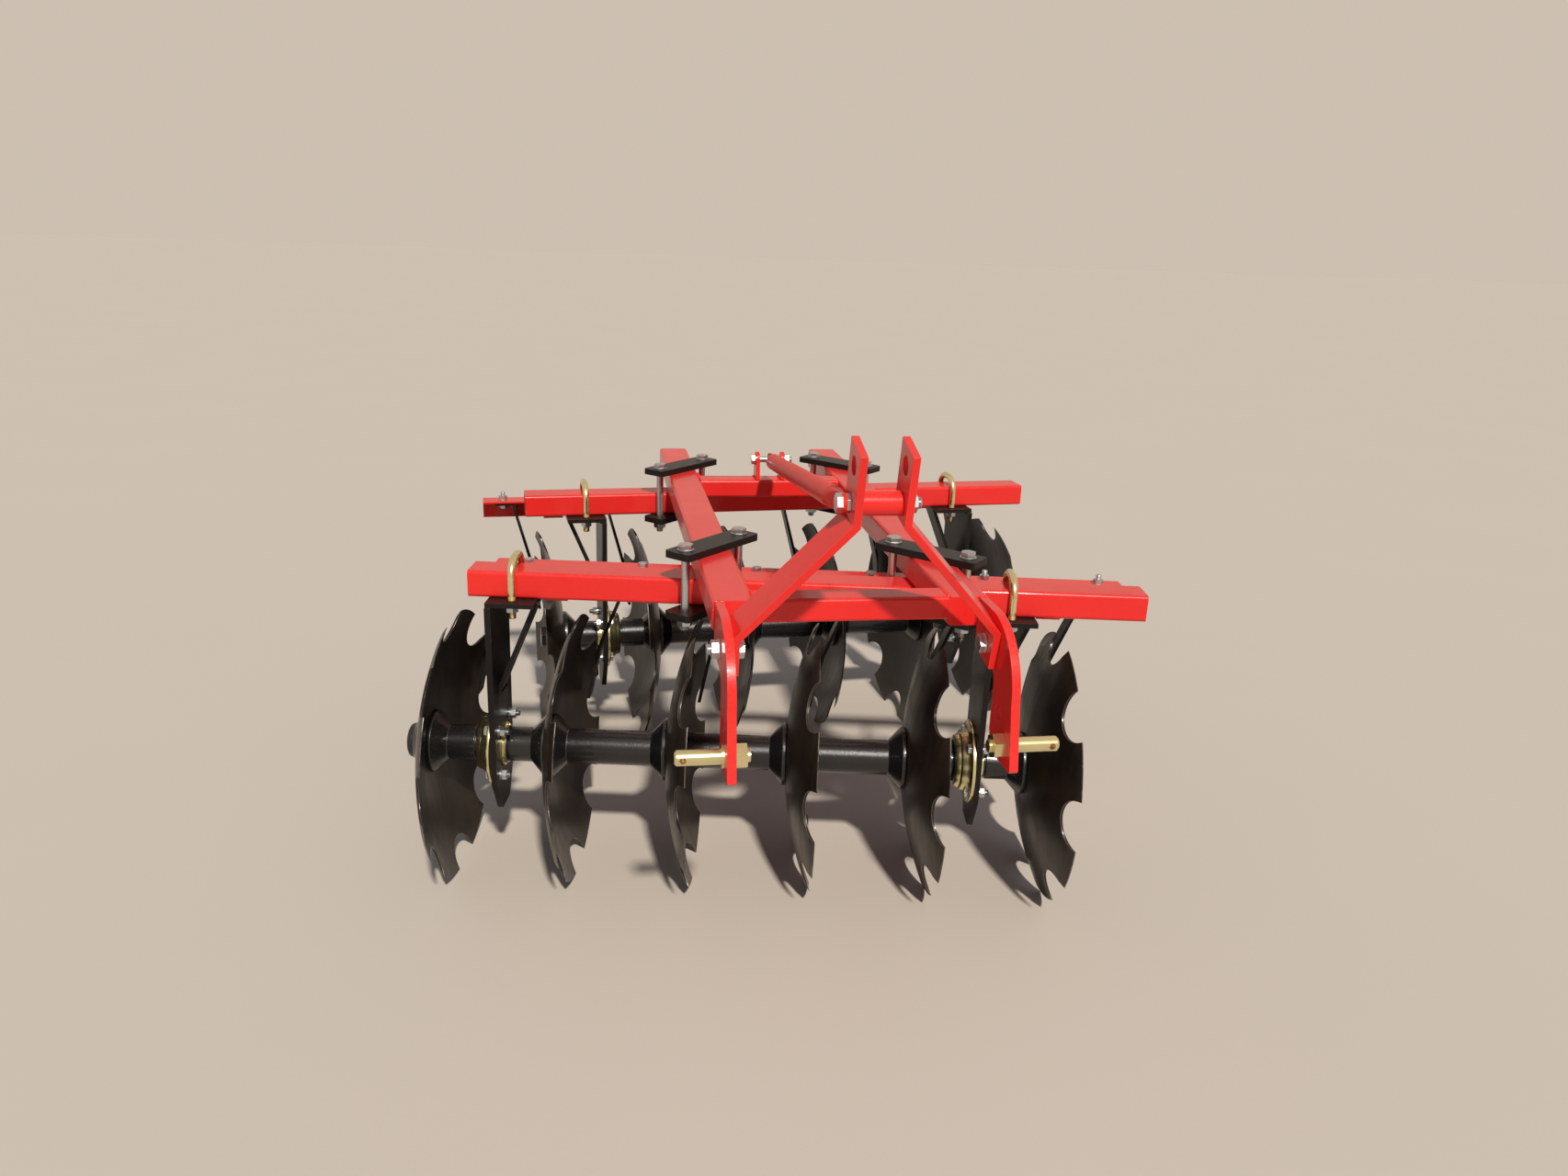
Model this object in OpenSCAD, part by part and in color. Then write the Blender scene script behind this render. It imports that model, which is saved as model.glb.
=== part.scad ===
// Tractor-mounted disc harrow with two opposed gangs of notched discs.
// Millimetres, +Z up, the hitch faces -Y. The machine stands parked on its discs.

/* [Gangs] */

// Diameter of one disc blade
disc_d = 460; // [400:5:520]
// Depth of a blade's dish, from its apex to its rim
disc_depth = 47; // [35:1:60]
// Thickness of a blade
disc_t = 4; // [3:0.5:6]
// Blades on one gang
disc_count = 6; // [4:1:6]
// Distance from one blade to the next along the axle
disc_pitch = 205; // [195:1:230]
// Notches around one blade
notch_count = 8; // [8:1:10]
// Radius of one notch
notch_r = 43; // [30:1:46]
// Width of the ground edge around a blade's rim
edge_w = 11; // [4:1:16]
// Outer diameter of the spool tubes
spool_d = 60; // [50:1:70]
// Diameter of the flanges that clamp a blade
flange_d = 108; // [90:1:116]
// Side of the square axle
axle_a = 30; // [25:1:32]
// Angle of the front gang, right end forward
front_angle = 10; // [5:0.5:12]
// Angle of the rear gang, left end forward
rear_angle = 5; // [3:0.5:12]
// Distance between the gangs on the centre line
gang_gap = 670; // [640:5:740]
// Offset of the front blades along their gang
front_shift = -102.5; // [-110:0.5:-90]
// Offset of the rear blades along their gang
rear_shift = 35; // [25:0.5:45]

/* [Frame] */

// Width of the rail and beam tubes
tube_w = 62; // [56:1:66]
// Height of the rail and beam tubes
tube_h = 45; // [40:1:50]
// Corner radius of the tubes
tube_r = 6; // [3:0.5:8]
// Wall of the tubes
tube_t = 4; // [3:0.5:6]
// Distance between the centre lines of the rails
rail_gap = 352; // [340:2:380]
// Front end of the rails
rail_y0 = -243; // [-260:1:-225]
// Rear end of the rails
rail_y1 = 885; // [830:5:920]
// Length of a gang beam
beam_len = 1116; // [1080:2:1160]
// Centre of the front beam along its gang
front_beam_c = -20; // [-30:1:0]
// Centre of the rear beam along its gang
rear_beam_c = 51; // [40:1:60]
// Height of the beams' undersides over the axles
beam_over_axle = 276; // [268:1:300]
// Depth of the cross tubes
cross_w = 50; // [40:1:60]
// Height of the cross tubes
cross_h = 36; // [30:1:44]
// Middle of the rear cross tube
rear_cross_y = 570; // [560:1:585]

/* [Hitch] */

// Thickness of the lower link plates
plate_t = 13; // [10:1:16]
// Distance from the middle to a link plate's inner face
plate_x = 190; // [184:1:193]
// Width of the link plates
plate_w = 76; // [70:1:90]
// Radius of a lower link pin
pin_r = 11; // [11:0.1:14]
// Free length of a lower link pin
pin_len = 63; // [55:1:75]
// Thickness of the mast bars
mast_t = 11; // [10:1:14]
// Width of the mast bars
mast_w = 60; // [50:1:66]
// Gap between the mast ears
ear_gap = 58; // [46:1:62]
// Radius of the top link holes
top_hole_r = 12.9; // [9.6:0.1:13]
// Forward lean of the mast
mast_lean = 11; // [8:0.5:20]
// Diameter of the spacer tube between the ears
spacer_d = 34; // [28:1:38]
// Diameter of the top stay
stay_d = 32; // [26:1:34]
// Thickness of the stay's flattened ends
stay_flat = 5; // [4:1:10]
// Spacing washer between the mast and the stay
stay_gap = 6; // [4:1:10]

/* [Clamps and hangers] */

// Thickness of the clamp plates
clamp_t = 12; // [8:1:16]
// Width of the clamp plates
clamp_w = 50; // [40:1:56]
// Radius of the clamp bolts
clamp_bolt_r = 7; // [6:0.5:9]
// Offset of a clamp bolt from the crossing, each way
clamp_off = 49; // [46:0.5:54]
// Radius of the U-bolt rod
ubolt_r = 6.5; // [5:0.5:7]
// Thickness of a hanger's leg
leg_t = 10; // [8:1:12]
// Width of a hanger's leg at the top
leg_w = 130; // [124:1:140]
// Thickness of a hanger's top plate
saddle_t = 8; // [6:1:10]
// Length of a hanger's top plate
saddle_l = 80; // [74:1:90]
// Radius of a bearing's pressed flange
flange_r = 72; // [66:1:74]
// Running clearance of a bearing around its journal
run_gap = 0.05; // [0.02:0.01:0.1]

/* [Scrapers] */

// Distance of a scraper bar behind its gang
scraper_y = 166; // [160:1:175]
// Leg of the scraper angle
angle_a = 44; // [36:1:50]
// Thickness of the scraper angle
angle_t = 4; // [3:0.5:6]
// Width of a scraper arm
arm_w = 32; // [24:1:36]
// Thickness of a scraper arm
arm_t = 6; // [5:0.5:7]

/* [Hidden] */

$fn = 64;
eps = 0.01;

disc_r = disc_d / 2;
notch_half = 2 * asin(notch_r / (2 * disc_r));
axle_z = disc_r * cos(notch_half);
ball_r = (disc_r * disc_r + disc_depth * disc_depth) / (2 * disc_depth);
beam_z = axle_z + beam_over_axle;
rail_z = beam_z + tube_h;
top_z = rail_z + tube_h;
rail_x = rail_gap / 2;
clamp_r = 0.3;

// Places along a gang, counted from the middle of its blades, dished side first
t0 = -disc_pitch * (disc_count - 1) / 2;
rims = [for (i = [0:disc_count - 1]) t0 + i * disc_pitch];
leg_off = 76;
saddle_off = 111;
hang = [rims[0], rims[disc_count - 2]];

// Journals and blades
journal_r = 25;
bell_l = 28;
lip = 6;
cap_l = 24;
cap_r = 34;
sag = function(r) ball_r - sqrt(ball_r * ball_r - r * r);
ring_w = 8;
dish = 4;
bell_x = -disc_depth + sag(flange_d / 2 - ring_w);
bore_r = axle_a / sqrt(2) + 0.3;
cup_x = -disc_depth + disc_t + sag(flange_d / 2) + 0.1;

// Middle of the machine's box on the ground, which goes onto the origin
middle_x = -30.5;
middle_y = 257.8;

red = [0.80, 0.06, 0.05];
black = [0.05, 0.05, 0.05];
steel_dark = [0.13, 0.11, 0.10];
gold = [0.72, 0.60, 0.25];
zinc = [0.75, 0.76, 0.78];

// Placing

module on_frame() translate([-middle_x, -middle_y, 0]) children();

module on_front() on_frame() rotate([0, 0, -front_angle]) children();

module on_rear() on_frame() translate([0, gang_gap, 0]) rotate([0, 0, rear_angle]) children();

module gang_front() on_front() translate([front_shift, 0, axle_z]) children();

module gang_rear() on_rear() translate([rear_shift, 0, axle_z]) rotate([0, 0, 180]) children();

// Rounded rectangle in the plane
module round_rect(w, h, r) {
    square([w - 2 * r, h], center = true);
    square([w, h - 2 * r], center = true);
    for (x = [-1, 1])
        for (y = [-1, 1])
            translate([x * (w / 2 - r), y * (h / 2 - r)]) circle(r = r);
}

// Open rectangular tube along +X, its underside at z = 0
module tube_x(l, w, h) {
    translate([0, 0, h / 2]) rotate([90, 0, 90]) linear_extrude(height = l) difference() {
        round_rect(w, h, tube_r);
        round_rect(w - 2 * tube_t, h - 2 * tube_t, tube_r - tube_t);
    }
}

module hex(af, h) cylinder(d = af / cos(30), h = h, $fn = 6);

// Frame tubes

module rail() {
    l = rail_y1 - rail_y0;
    translate([0, rail_y0, rail_z]) rotate([0, 0, 90]) {
        tube_x(l, tube_w, tube_h);
        translate([0, 0, tube_h / 2]) rotate([90, 0, 90])
            linear_extrude(height = tube_t) round_rect(tube_w - 2 * tube_t, tube_h - 2 * tube_t, tube_r - tube_t);
    }
}

module rail_left() color(red) on_frame() translate([-rail_x, 0, 0]) rail();

module rail_right() color(red) on_frame() translate([rail_x, 0, 0]) rail();

module cross_tube(y) {
    l = rail_gap - tube_w;
    translate([-l / 2, y, top_z - cross_h]) tube_x(l, cross_w, cross_h);
}

module front_cross_tube() color(red) on_frame() cross_tube(rail_y0 + cross_w / 2);

module rear_cross_tube() color(red) on_frame() cross_tube(rear_cross_y);

module front_beam() color(red) on_front()
    translate([front_beam_c - beam_len / 2, 0, beam_z]) tube_x(beam_len, tube_w, tube_h);

module rear_beam() color(red) on_rear()
    translate([rear_beam_c - beam_len / 2, 0, beam_z]) tube_x(beam_len, tube_w, tube_h);

// Hitch

// Where the mast's foot bolts sit
foot_y = -313;
foot_z = beam_z + 43;
foot_x = plate_x - mast_t / 2;
ear_x = ear_gap / 2 + mast_t / 2;
v_foot = -26;
v_bend1 = 30;
v_bend2 = 199;
v_pin = 274;
v_top = 304;
v_spacer = 221;
foot_r = 8;
ear_slope = 6;

module mast_place() on_frame() translate([0, foot_y, foot_z]) rotate([mast_lean, 0, 0]) children();

// One bent bar: its line runs up the mast's plane, its width lies across it
module mast_bar(sg) {
    slope = atan2(v_bend2 - v_bend1, foot_x - ear_x);
    half = mast_t / 2;
    k = half * tan((90 - slope) / 2);
    difference() {
        mast_place() rotate([90, 0, 0]) translate([0, 0, -mast_w / 2]) linear_extrude(height = mast_w)
            polygon([
                [sg * (foot_x + half), v_foot], [sg * (foot_x - half), v_foot],
                [sg * (foot_x - half), v_bend1 - k], [sg * (ear_x - half), v_bend2 - k],
                [sg * (ear_x - half), v_top], [sg * (ear_x + half), v_top],
                [sg * (ear_x + half), v_bend2 + k], [sg * (foot_x + half), v_bend1 + k]
            ]);
        mast_place() {
            translate([sg * (ear_x - mast_t), 0, v_pin]) rotate([0, sg * 90, 0]) cylinder(r = top_hole_r, h = 2 * mast_t);
            translate([sg * (ear_x - mast_t), 0, v_spacer]) rotate([0, sg * 90, 0]) cylinder(r = 8.3, h = 2 * mast_t);
            translate([sg * (foot_x - mast_t), 0, 0]) rotate([0, sg * 90, 0]) cylinder(r = foot_r + clamp_r, h = 2 * mast_t);
            translate([0, mast_w / 2, v_top]) rotate([ear_slope, 0, 0]) translate([-ear_gap, -2 * mast_w, 0])
                cube([2 * ear_gap, 4 * mast_w, mast_w]);
        }
    }
}

module mast_left() color(red) mast_bar(-1);

module mast_right() color(red) mast_bar(1);

module mast_spacer() color(red) mast_place() translate([-ear_gap / 2, 0, v_spacer]) rotate([0, 90, 0])
    difference() {
        cylinder(d = spacer_d, h = ear_gap);
        translate([0, 0, -1]) cylinder(r = 8.5, h = ear_gap + 2);
    }

module mast_bolt() {
    grip = ear_gap + 2 * mast_t + stay_gap + stay_flat;
    color(zinc) mast_place() translate([ear_gap / 2 + mast_t - grip, 0, v_spacer]) rotate([0, 90, 0]) {
        cylinder(r = 8, h = grip + 19);
        translate([0, 0, -9]) hex(24, 9);
        translate([0, 0, stay_flat]) cylinder(r = 12, h = stay_gap);
        translate([0, 0, grip]) hex(24, 13);
    }
}

module foot_bolts() color(zinc) on_frame() for (sg = [-1, 1])
    translate([sg * (plate_x - mast_t), foot_y, foot_z]) rotate([0, sg * 90, 0]) {
        cylinder(r = foot_r, h = mast_t + plate_t + 20);
        translate([0, 0, -10]) hex(24, 10);
        translate([0, 0, mast_t + plate_t]) hex(24, 13);
    }

// Bent link plate, seen from the side
link_r = 104;
link_cy = -306;
link_cz = top_z - link_r;
link_drop = 155;
link_z0 = rail_z - link_drop;
link_y0 = link_cy - link_r;
pin_y = link_y0 + 17;
pin_z = link_z0 + 29;
spare_y = link_y0 + 48;
spare_z = pin_z + 36;
pin_hole_r = 9.2;
pin_hex = 32;
pin_tail = 22;

// Points of the plate's bend at radius r, from the rail's end down
function link_bend(r) = [for (a = [90:3.75:180]) [link_cy + r * cos(a), link_cz + r * sin(a)]];

module link_shape() difference() {
    polygon(concat(
        [[rail_y0, top_z - plate_w], [rail_y0, top_z]], link_bend(link_r),
        [
            [link_y0 - 17, link_z0 + 4], [link_y0 - 13, link_z0],
            [link_y0 + plate_w - 12, link_z0], [link_y0 + plate_w, link_z0 + 30]
        ],
        [for (i = [24:-1:0]) link_bend(link_r - plate_w)[i]]
    ));
    translate([pin_y, pin_z]) circle(r = pin_hole_r);
    translate([spare_y, spare_z]) circle(r = pin_r);
    translate([foot_y, foot_z]) circle(r = foot_r + clamp_r);
}

module link_plate(sg) on_frame()
    translate([sg > 0 ? plate_x : -plate_x - plate_t, 0, 0])
        rotate([90, 0, 90]) linear_extrude(height = plate_t) link_shape();

module link_plate_left() color(red) link_plate(-1);

module link_plate_right() color(red) link_plate(1);

// Stepped pin with its collar and nut, pointing along +Z
module link_pin() difference() {
    union() {
        translate([0, 0, -plate_t - pin_tail]) cylinder(r = pin_hole_r - 0.2, h = plate_t + pin_tail);
        translate([0, 0, -plate_t - 17]) hex(pin_hex, 17);
        cylinder(r = 16, h = 5);
        translate([0, 0, 5]) cylinder(r = pin_r, h = pin_len - 3);
        translate([0, 0, pin_len + 2]) cylinder(r1 = pin_r, r2 = pin_r - 3, h = 3);
    }
    translate([0, 0, pin_len - 6]) rotate([90, 0, 0]) cylinder(r = 4.5, h = 4 * pin_r, center = true);
}

module link_pin_left() color(gold) on_frame() translate([-plate_x - plate_t, pin_y, pin_z])
    rotate([0, -90, 0]) link_pin();

module link_pin_right() color(gold) on_frame() translate([plate_x + plate_t, pin_y, pin_z])
    rotate([0, 90, 0]) link_pin();

// Stay from the mast bolt, outside the left ear, back to a bracket on the rear cross tube
stay_x0 = -(ear_gap / 2 + mast_t + stay_gap + stay_flat / 2);
stay_y0 = foot_y - v_spacer * sin(mast_lean);
stay_z0 = foot_z + v_spacer * cos(mast_lean);
stay_y1 = rear_cross_y - 4;
stay_z1 = top_z + 40;
stay_l = sqrt(pow(stay_y1 - stay_y0, 2) + pow(stay_z1 - stay_z0, 2));
stay_tilt = atan2(stay_z1 - stay_z0, stay_y1 - stay_y0);
bracket_in = 22;
bracket_t = 8;
squash_l = 45;
tab_l = 40;
tab_h = 26;

// One flattened end at the origin, running along +Y to the round tube
module stay_end(x, bore) {
    difference() {
        union() {
            translate([x - stay_flat / 2, 0, -tab_h / 2]) cube([stay_flat, tab_l, tab_h]);
            translate([x - stay_flat / 2, 0, 0]) rotate([0, 90, 0]) cylinder(d = tab_h, h = stay_flat);
        }
        translate([x - stay_flat, 0, 0]) rotate([0, 90, 0]) cylinder(r = bore, h = 2 * stay_flat);
    }
}

// Sideways place of the tube's line at a distance along it
stay_line = function(l) stay_x0 * (1 - l / stay_l);
stay_yaw = atan2(stay_x0, stay_l);

// Change from a flattened end to the round tube, dir = 1 rearwards
module squash(x, l, dir) hull() {
    translate([x - stay_flat / 2 + 0.1, l - 2, -tab_h / 2 + 0.2]) cube([stay_flat - 0.2, 4, tab_h - 0.4]);
    translate([stay_line(l + dir * squash_l), l + dir * (squash_l + 1), 0]) rotate([-90, 0, 0])
        cylinder(d = stay_d - 0.4, h = 2, center = true, $fn = 32);
}

module top_stay() color(red) on_frame() translate([0, stay_y0, stay_z0]) rotate([stay_tilt, 0, 0]) {
    stay_end(stay_x0, 8.3);
    translate([0, stay_l, 0]) rotate([0, 0, 180]) stay_end(0, 6.3);
    squash(stay_x0, tab_l, 1);
    squash(0, stay_l - tab_l, -1);
    translate([stay_line(tab_l + squash_l), tab_l + squash_l, 0]) rotate([-90, 0, stay_yaw])
        cylinder(d = stay_d, h = (stay_l - 2 * (tab_l + squash_l)) / cos(stay_yaw));
}

module stay_bracket() color(red) on_frame() for (x = [-bracket_in - bracket_t, bracket_in])
    translate([x, stay_y1, top_z]) rotate([90, 0, 90]) linear_extrude(height = bracket_t) difference() {
        union() {
            polygon([[-20, 0], [20, 0], [16, stay_z1 - top_z], [-16, stay_z1 - top_z]]);
            translate([0, stay_z1 - top_z]) circle(r = 16);
        }
        translate([0, stay_z1 - top_z]) circle(r = 6.3);
    }

module stay_bolt() color(zinc) on_frame()
    translate([-bracket_in - bracket_t, stay_y1, stay_z1]) rotate([0, 90, 0]) {
        cylinder(r = 6, h = 2 * (bracket_in + bracket_t) + 16);
        translate([0, 0, -8]) hex(19, 8);
        translate([0, 0, 2 * (bracket_in + bracket_t)]) hex(19, 10);
    }

// Clamps where the rails cross the beams

// Middle of a crossing on the frame
function front_cross(sg) = [sg * rail_x, -sg * rail_x * tan(front_angle)];
function rear_cross(sg) = [sg * rail_x, gang_gap + sg * rail_x * tan(rear_angle)];

diag = 2 * sqrt(2) * clamp_off;
clamp_l = diag + clamp_w - 4;

module clamp_bar(sg) rotate([0, 0, -sg * 45]) linear_extrude(height = clamp_t) difference() {
    round_rect(clamp_l, clamp_w, 5);
    for (k = [-1, 1]) translate([k * diag / 2, 0]) circle(r = clamp_bolt_r + clamp_r);
}

module clamp_pair(c, sg) color(black) on_frame() translate([c[0], c[1], 0]) {
    translate([0, 0, top_z]) clamp_bar(sg);
    translate([0, 0, beam_z - clamp_t]) clamp_bar(sg);
}

module clamp_front_left() clamp_pair(front_cross(-1), -1);

module clamp_front_right() clamp_pair(front_cross(1), 1);

module clamp_rear_left() clamp_pair(rear_cross(-1), -1);

module clamp_rear_right() clamp_pair(rear_cross(1), 1);

module clamp_bolt() {
    grip = 2 * tube_h + 2 * clamp_t;
    translate([0, 0, beam_z - clamp_t - 22]) cylinder(r = clamp_bolt_r, h = grip + 22);
    translate([0, 0, top_z + clamp_t]) hex(22, 9);
    translate([0, 0, beam_z - clamp_t - 11]) hex(22, 11);
}

module clamp_bolts(cs) color(zinc) on_frame() for (i = [0, 1]) {
    sg = i == 0 ? -1 : 1;
    for (k = [-1, 1])
        translate([cs[i][0] + k * clamp_off, cs[i][1] - sg * k * clamp_off, 0]) clamp_bolt();
}

module clamp_bolts_front() clamp_bolts([front_cross(-1), front_cross(1)]);

module clamp_bolts_rear() clamp_bolts([rear_cross(-1), rear_cross(1)]);

// Hangers, drawn in gang places with the axle at z = 0

saddle_z = beam_over_axle - saddle_t;
ubolt_half = tube_w / 2 + ubolt_r + 0.5;
crown_r = 30;
arch_z = beam_over_axle + tube_h - 10.5;

module ubolt(x) translate([x, 0, 0]) {
    for (y = [-ubolt_half, ubolt_half]) {
        translate([0, y, saddle_z - 24]) cylinder(r = ubolt_r, h = arch_z - saddle_z + 24);
        translate([0, y, saddle_z - 10]) hex(19, 10);
    }
    for (sg = [0, 180]) rotate([0, 0, sg]) translate([0, ubolt_half - crown_r, arch_z]) rotate([90, 0, 90])
        rotate_extrude(angle = 90) translate([crown_r, 0]) circle(r = ubolt_r, $fn = 32);
    translate([0, crown_r - ubolt_half, arch_z + crown_r]) rotate([-90, 0, 0])
        cylinder(r = ubolt_r, h = 2 * (ubolt_half - crown_r));
}

saddle_w = 120;
leg_bottom = -111;
leg_low_w = 50;
brace_w = 50;
brace_t = 8;

module hanger(rim) {
    x0 = rim + leg_off - leg_t / 2;
    xs = rim + saddle_off;
    bx = xs + saddle_l / 2 - 8;
    lx = x0 + leg_t;
    difference() {
        union() {
            translate([xs - saddle_l / 2, -saddle_w / 2, saddle_z]) cube([saddle_l, saddle_w, saddle_t]);
            translate([x0, 0, 0]) rotate([90, 0, 90]) linear_extrude(height = leg_t) polygon([
                [-leg_w / 2, saddle_z], [-leg_w / 2 + 4, -50], [-leg_low_w / 2, leg_bottom],
                [leg_low_w / 2, leg_bottom], [leg_w / 2 - 4, -50], [leg_w / 2, saddle_z]
            ]);
            translate([0, brace_w / 2, 0]) rotate([90, 0, 0]) linear_extrude(height = brace_w) polygon([
                [bx, saddle_z], [bx + brace_t, saddle_z], [lx, 100], [lx, 118]
            ]);
        }
        for (y = [-ubolt_half, ubolt_half])
            translate([xs, y, saddle_z - 1]) cylinder(r = ubolt_r + 0.3, h = saddle_t + 2);
        translate([x0 - 1, 0, 0]) rotate([0, 90, 0]) cylinder(r = 38, h = leg_t + 2);
        for (y = [-40, 40])
            for (z = [-40, 40])
                translate([x0 - 1, y, z]) rotate([0, 90, 0]) cylinder(r = 5.3, h = leg_t + 2);
    }
}

// Pressed flange, dished housing and rear collar on one axis
module bearing(rim) translate([rim + leg_off - leg_t / 2, 0, 0]) rotate([0, 90, 0]) difference() {
    union() {
        translate([0, 0, -5]) cylinder(r = flange_r, h = 5);
        translate([0, 0, -31]) cylinder(r1 = 44, r2 = 54, h = 26);
        translate([0, 0, -eps]) cylinder(r = 37.5, h = leg_t + 4);
        translate([0, 0, leg_t + 4 - eps]) cylinder(r = 33, h = 5);
    }
    translate([0, 0, -40]) cylinder(r = journal_r + run_gap, h = 80);
    for (y = [-40, 40])
        for (z = [-40, 40])
            translate([z, y, -6]) cylinder(r = 5.3, h = 7);
}

// Turning parts, drawn on the axle's line

// One spool from a blade's hollow side to the next blade's back
module spool(rim, journal) {
    x0 = rim + cup_x;
    x1 = rim + disc_pitch + bell_x;
    ra = flange_d / 2;
    rt = spool_d / 2;
    j0 = rim + leg_off - leg_t / 2 - 31 - 5;
    j1 = rim + leg_off + leg_t / 2 + 9 + 5;
    waist = journal ? [[j0, rt], [j0, journal_r], [j1, journal_r], [j1, rt]] : [];
    profile = concat(
        [[x0, ra], [x0 + lip, ra], [x0 + bell_l, rt]], waist,
        [[x1 - bell_l, rt], [x1 - lip, ra], [x1, ra], [x1, ra - ring_w], [x1 - dish, ra - ring_w], [x1 - dish, bore_r]],
        [[x0, bore_r]]
    );
    rotate([0, 90, 0]) rotate_extrude() polygon([for (p = profile) [p[1], p[0]]]);
}

// Cap with its nut outside the first blade, washer and nut inside the last
module end_caps() {
    ra = flange_d / 2;
    x1 = rims[0] + bell_x;
    x2 = rims[disc_count - 1] + cup_x;
    rotate([0, 90, 0]) rotate_extrude() polygon([
        [bore_r, x1 - dish], [ra - ring_w, x1 - dish], [ra - ring_w, x1], [ra, x1], [ra, x1 - lip],
        [cap_r, x1 - cap_l], [bore_r, x1 - cap_l]
    ]);
    rotate([0, 90, 0]) rotate_extrude() polygon([
        [bore_r, x2], [ra, x2], [ra, x2 + lip], [cap_r, x2 + cap_l], [bore_r, x2 + cap_l]
    ]);
}

module spools() {
    for (i = [0:disc_count - 2]) spool(rims[i], i == 0 || i == disc_count - 2);
    end_caps();
}

module spools_front() color(black) gang_front() spools();

module spools_rear() color(black) gang_rear() spools();

module axle() {
    x1 = rims[0] + bell_x - cap_l;
    x2 = rims[disc_count - 1] + cup_x + cap_l;
    translate([x1 - 1, -axle_a / 2, -axle_a / 2]) cube([x2 - x1 + 2, axle_a, axle_a]);
    translate([x1 - 6, 0, 0]) rotate([0, 90, 0]) cylinder(r = 30, h = 6);
    translate([x1 - 20, 0, 0]) rotate([0, 90, 0]) hex(40, 14 + eps);
    translate([x2, 0, 0]) rotate([0, 90, 0]) cylinder(r = 30, h = 6);
    translate([x2 + 6 - eps, 0, 0]) rotate([0, 90, 0]) hex(40, 14);
}

module axle_front() color(black) gang_front() axle();

module axle_rear() color(black) gang_rear() axle();

// Ground edge: where it starts on the back, and how steeply it rises to 1.4 short of the hollow side
edge_z = sag(disc_r - edge_w) - disc_depth;
edge_rise = (ball_r - disc_depth - sqrt(pow(ball_r - disc_t, 2) - disc_r * disc_r) - 1.4 - edge_z) / edge_w;

// Notched, dished blade with its rim ground on the back, which faces -X
module disc(rim) translate([rim, 0, 0]) rotate([0, 90, 0]) difference() {
    intersection() {
        translate([0, 0, ball_r - disc_depth]) sphere(r = ball_r, $fn = 128);
        translate([0, 0, -disc_depth - 1]) cylinder(r = disc_r, h = disc_depth + 8, $fn = 128);
    }
    translate([0, 0, ball_r - disc_depth]) sphere(r = ball_r - disc_t, $fn = 128);
    rotate_extrude($fn = 128) polygon([
        [disc_r - edge_w - 4, edge_z - 4 * edge_rise], [disc_r + 4, edge_z + (edge_w + 4) * edge_rise],
        [disc_r + 4, -disc_depth], [disc_r - edge_w - 4, -disc_depth]
    ]);
    for (i = [0:notch_count - 1]) rotate([0, 0, 360 / notch_count * i])
        translate([disc_r, 0, -disc_depth - 2]) cylinder(r = notch_r, h = disc_depth + 12, $fn = 48);
    translate([-axle_a / 2 - 0.1, -axle_a / 2 - 0.1, -disc_depth - 2]) cube([axle_a + 0.2, axle_a + 0.2, 12]);
}

module disc_front(i) color(steel_dark) gang_front() disc(rims[i]);

module disc_rear(i) color(steel_dark) gang_rear() disc(rims[i]);

module disc_front_1() disc_front(0);

module disc_front_2() disc_front(1);

module disc_front_3() disc_front(2);

module disc_front_4() disc_front(3);

module disc_front_5() disc_front(4);

module disc_front_6() disc_front(5);

module disc_rear_1() disc_rear(0);

module disc_rear_2() disc_rear(1);

module disc_rear_3() disc_rear(2);

module disc_rear_4() disc_rear(3);

module disc_rear_5() disc_rear(4);

module disc_rear_6() disc_rear(5);

// Scrapers: sg = 1 on the front gang, -1 on the rear one, whose blades face the other way

strap_w = 40;
strap_t = 8;
strap_in = 10;
bar_ends = 62;
arm_reach = 250;
arm_knee = 150;
// The front bar lies on its straps, the rear one hangs under them
arm_off = function(sg) sg > 0 ? 98 : 72;
flange_z = function(sg) sg > 0 ? beam_over_axle : beam_over_axle - strap_t - angle_t;
strap_off = saddle_off + saddle_l / 2 + 6 + strap_w / 2;

module scraper_bar(sg) {
    a = t0 + arm_off(sg) - bar_ends;
    b = rims[disc_count - 1] + arm_off(sg) + bar_ends * 2 / 3;
    x = sg > 0 ? a : -b;
    translate([x, scraper_y - angle_a / 2, flange_z(sg)]) cube([b - a, angle_a, angle_t]);
    translate([x, scraper_y + angle_a / 2 - angle_t, flange_z(sg) - angle_a + angle_t])
        cube([b - a, angle_t, angle_a - angle_t + eps]);
}

module scraper_straps(sg) for (h = hang)
    translate([sg * (h + strap_off) - strap_w / 2, -strap_in, beam_over_axle - strap_t])
        cube([strap_w, scraper_y + angle_a / 2 - angle_t + strap_in, strap_t]);

module scraper(rim, sg) {
    x = rim + arm_off(sg);
    knee = sg > 0 ? rim + 14 : rim + 7;
    outline = [
        [x + 16, 0], [x - 24, 0], [knee, -arm_knee], [rim - 6, -arm_reach],
        [rim - 6 + arm_t, -arm_reach], [knee + arm_t, -arm_knee - 2], [x - 26 + arm_t, -arm_t], [x + 16, -arm_t]
    ];
    translate([0, scraper_y + arm_w / 2 - 2, flange_z(sg)]) rotate([90, 0, 0]) linear_extrude(height = arm_w)
        polygon([for (p = outline) [sg * p[0], p[1]]]);
}

module scraper_bar_front() color(red) on_front() translate([front_shift, 0, axle_z]) scraper_bar(1);

module scraper_bar_rear() color(red) on_rear() translate([rear_shift, 0, axle_z]) scraper_bar(-1);

module scraper_straps_front() color(red) on_front() translate([front_shift, 0, axle_z]) scraper_straps(1);

module scraper_straps_rear() color(red) on_rear() translate([rear_shift, 0, axle_z]) scraper_straps(-1);

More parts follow.
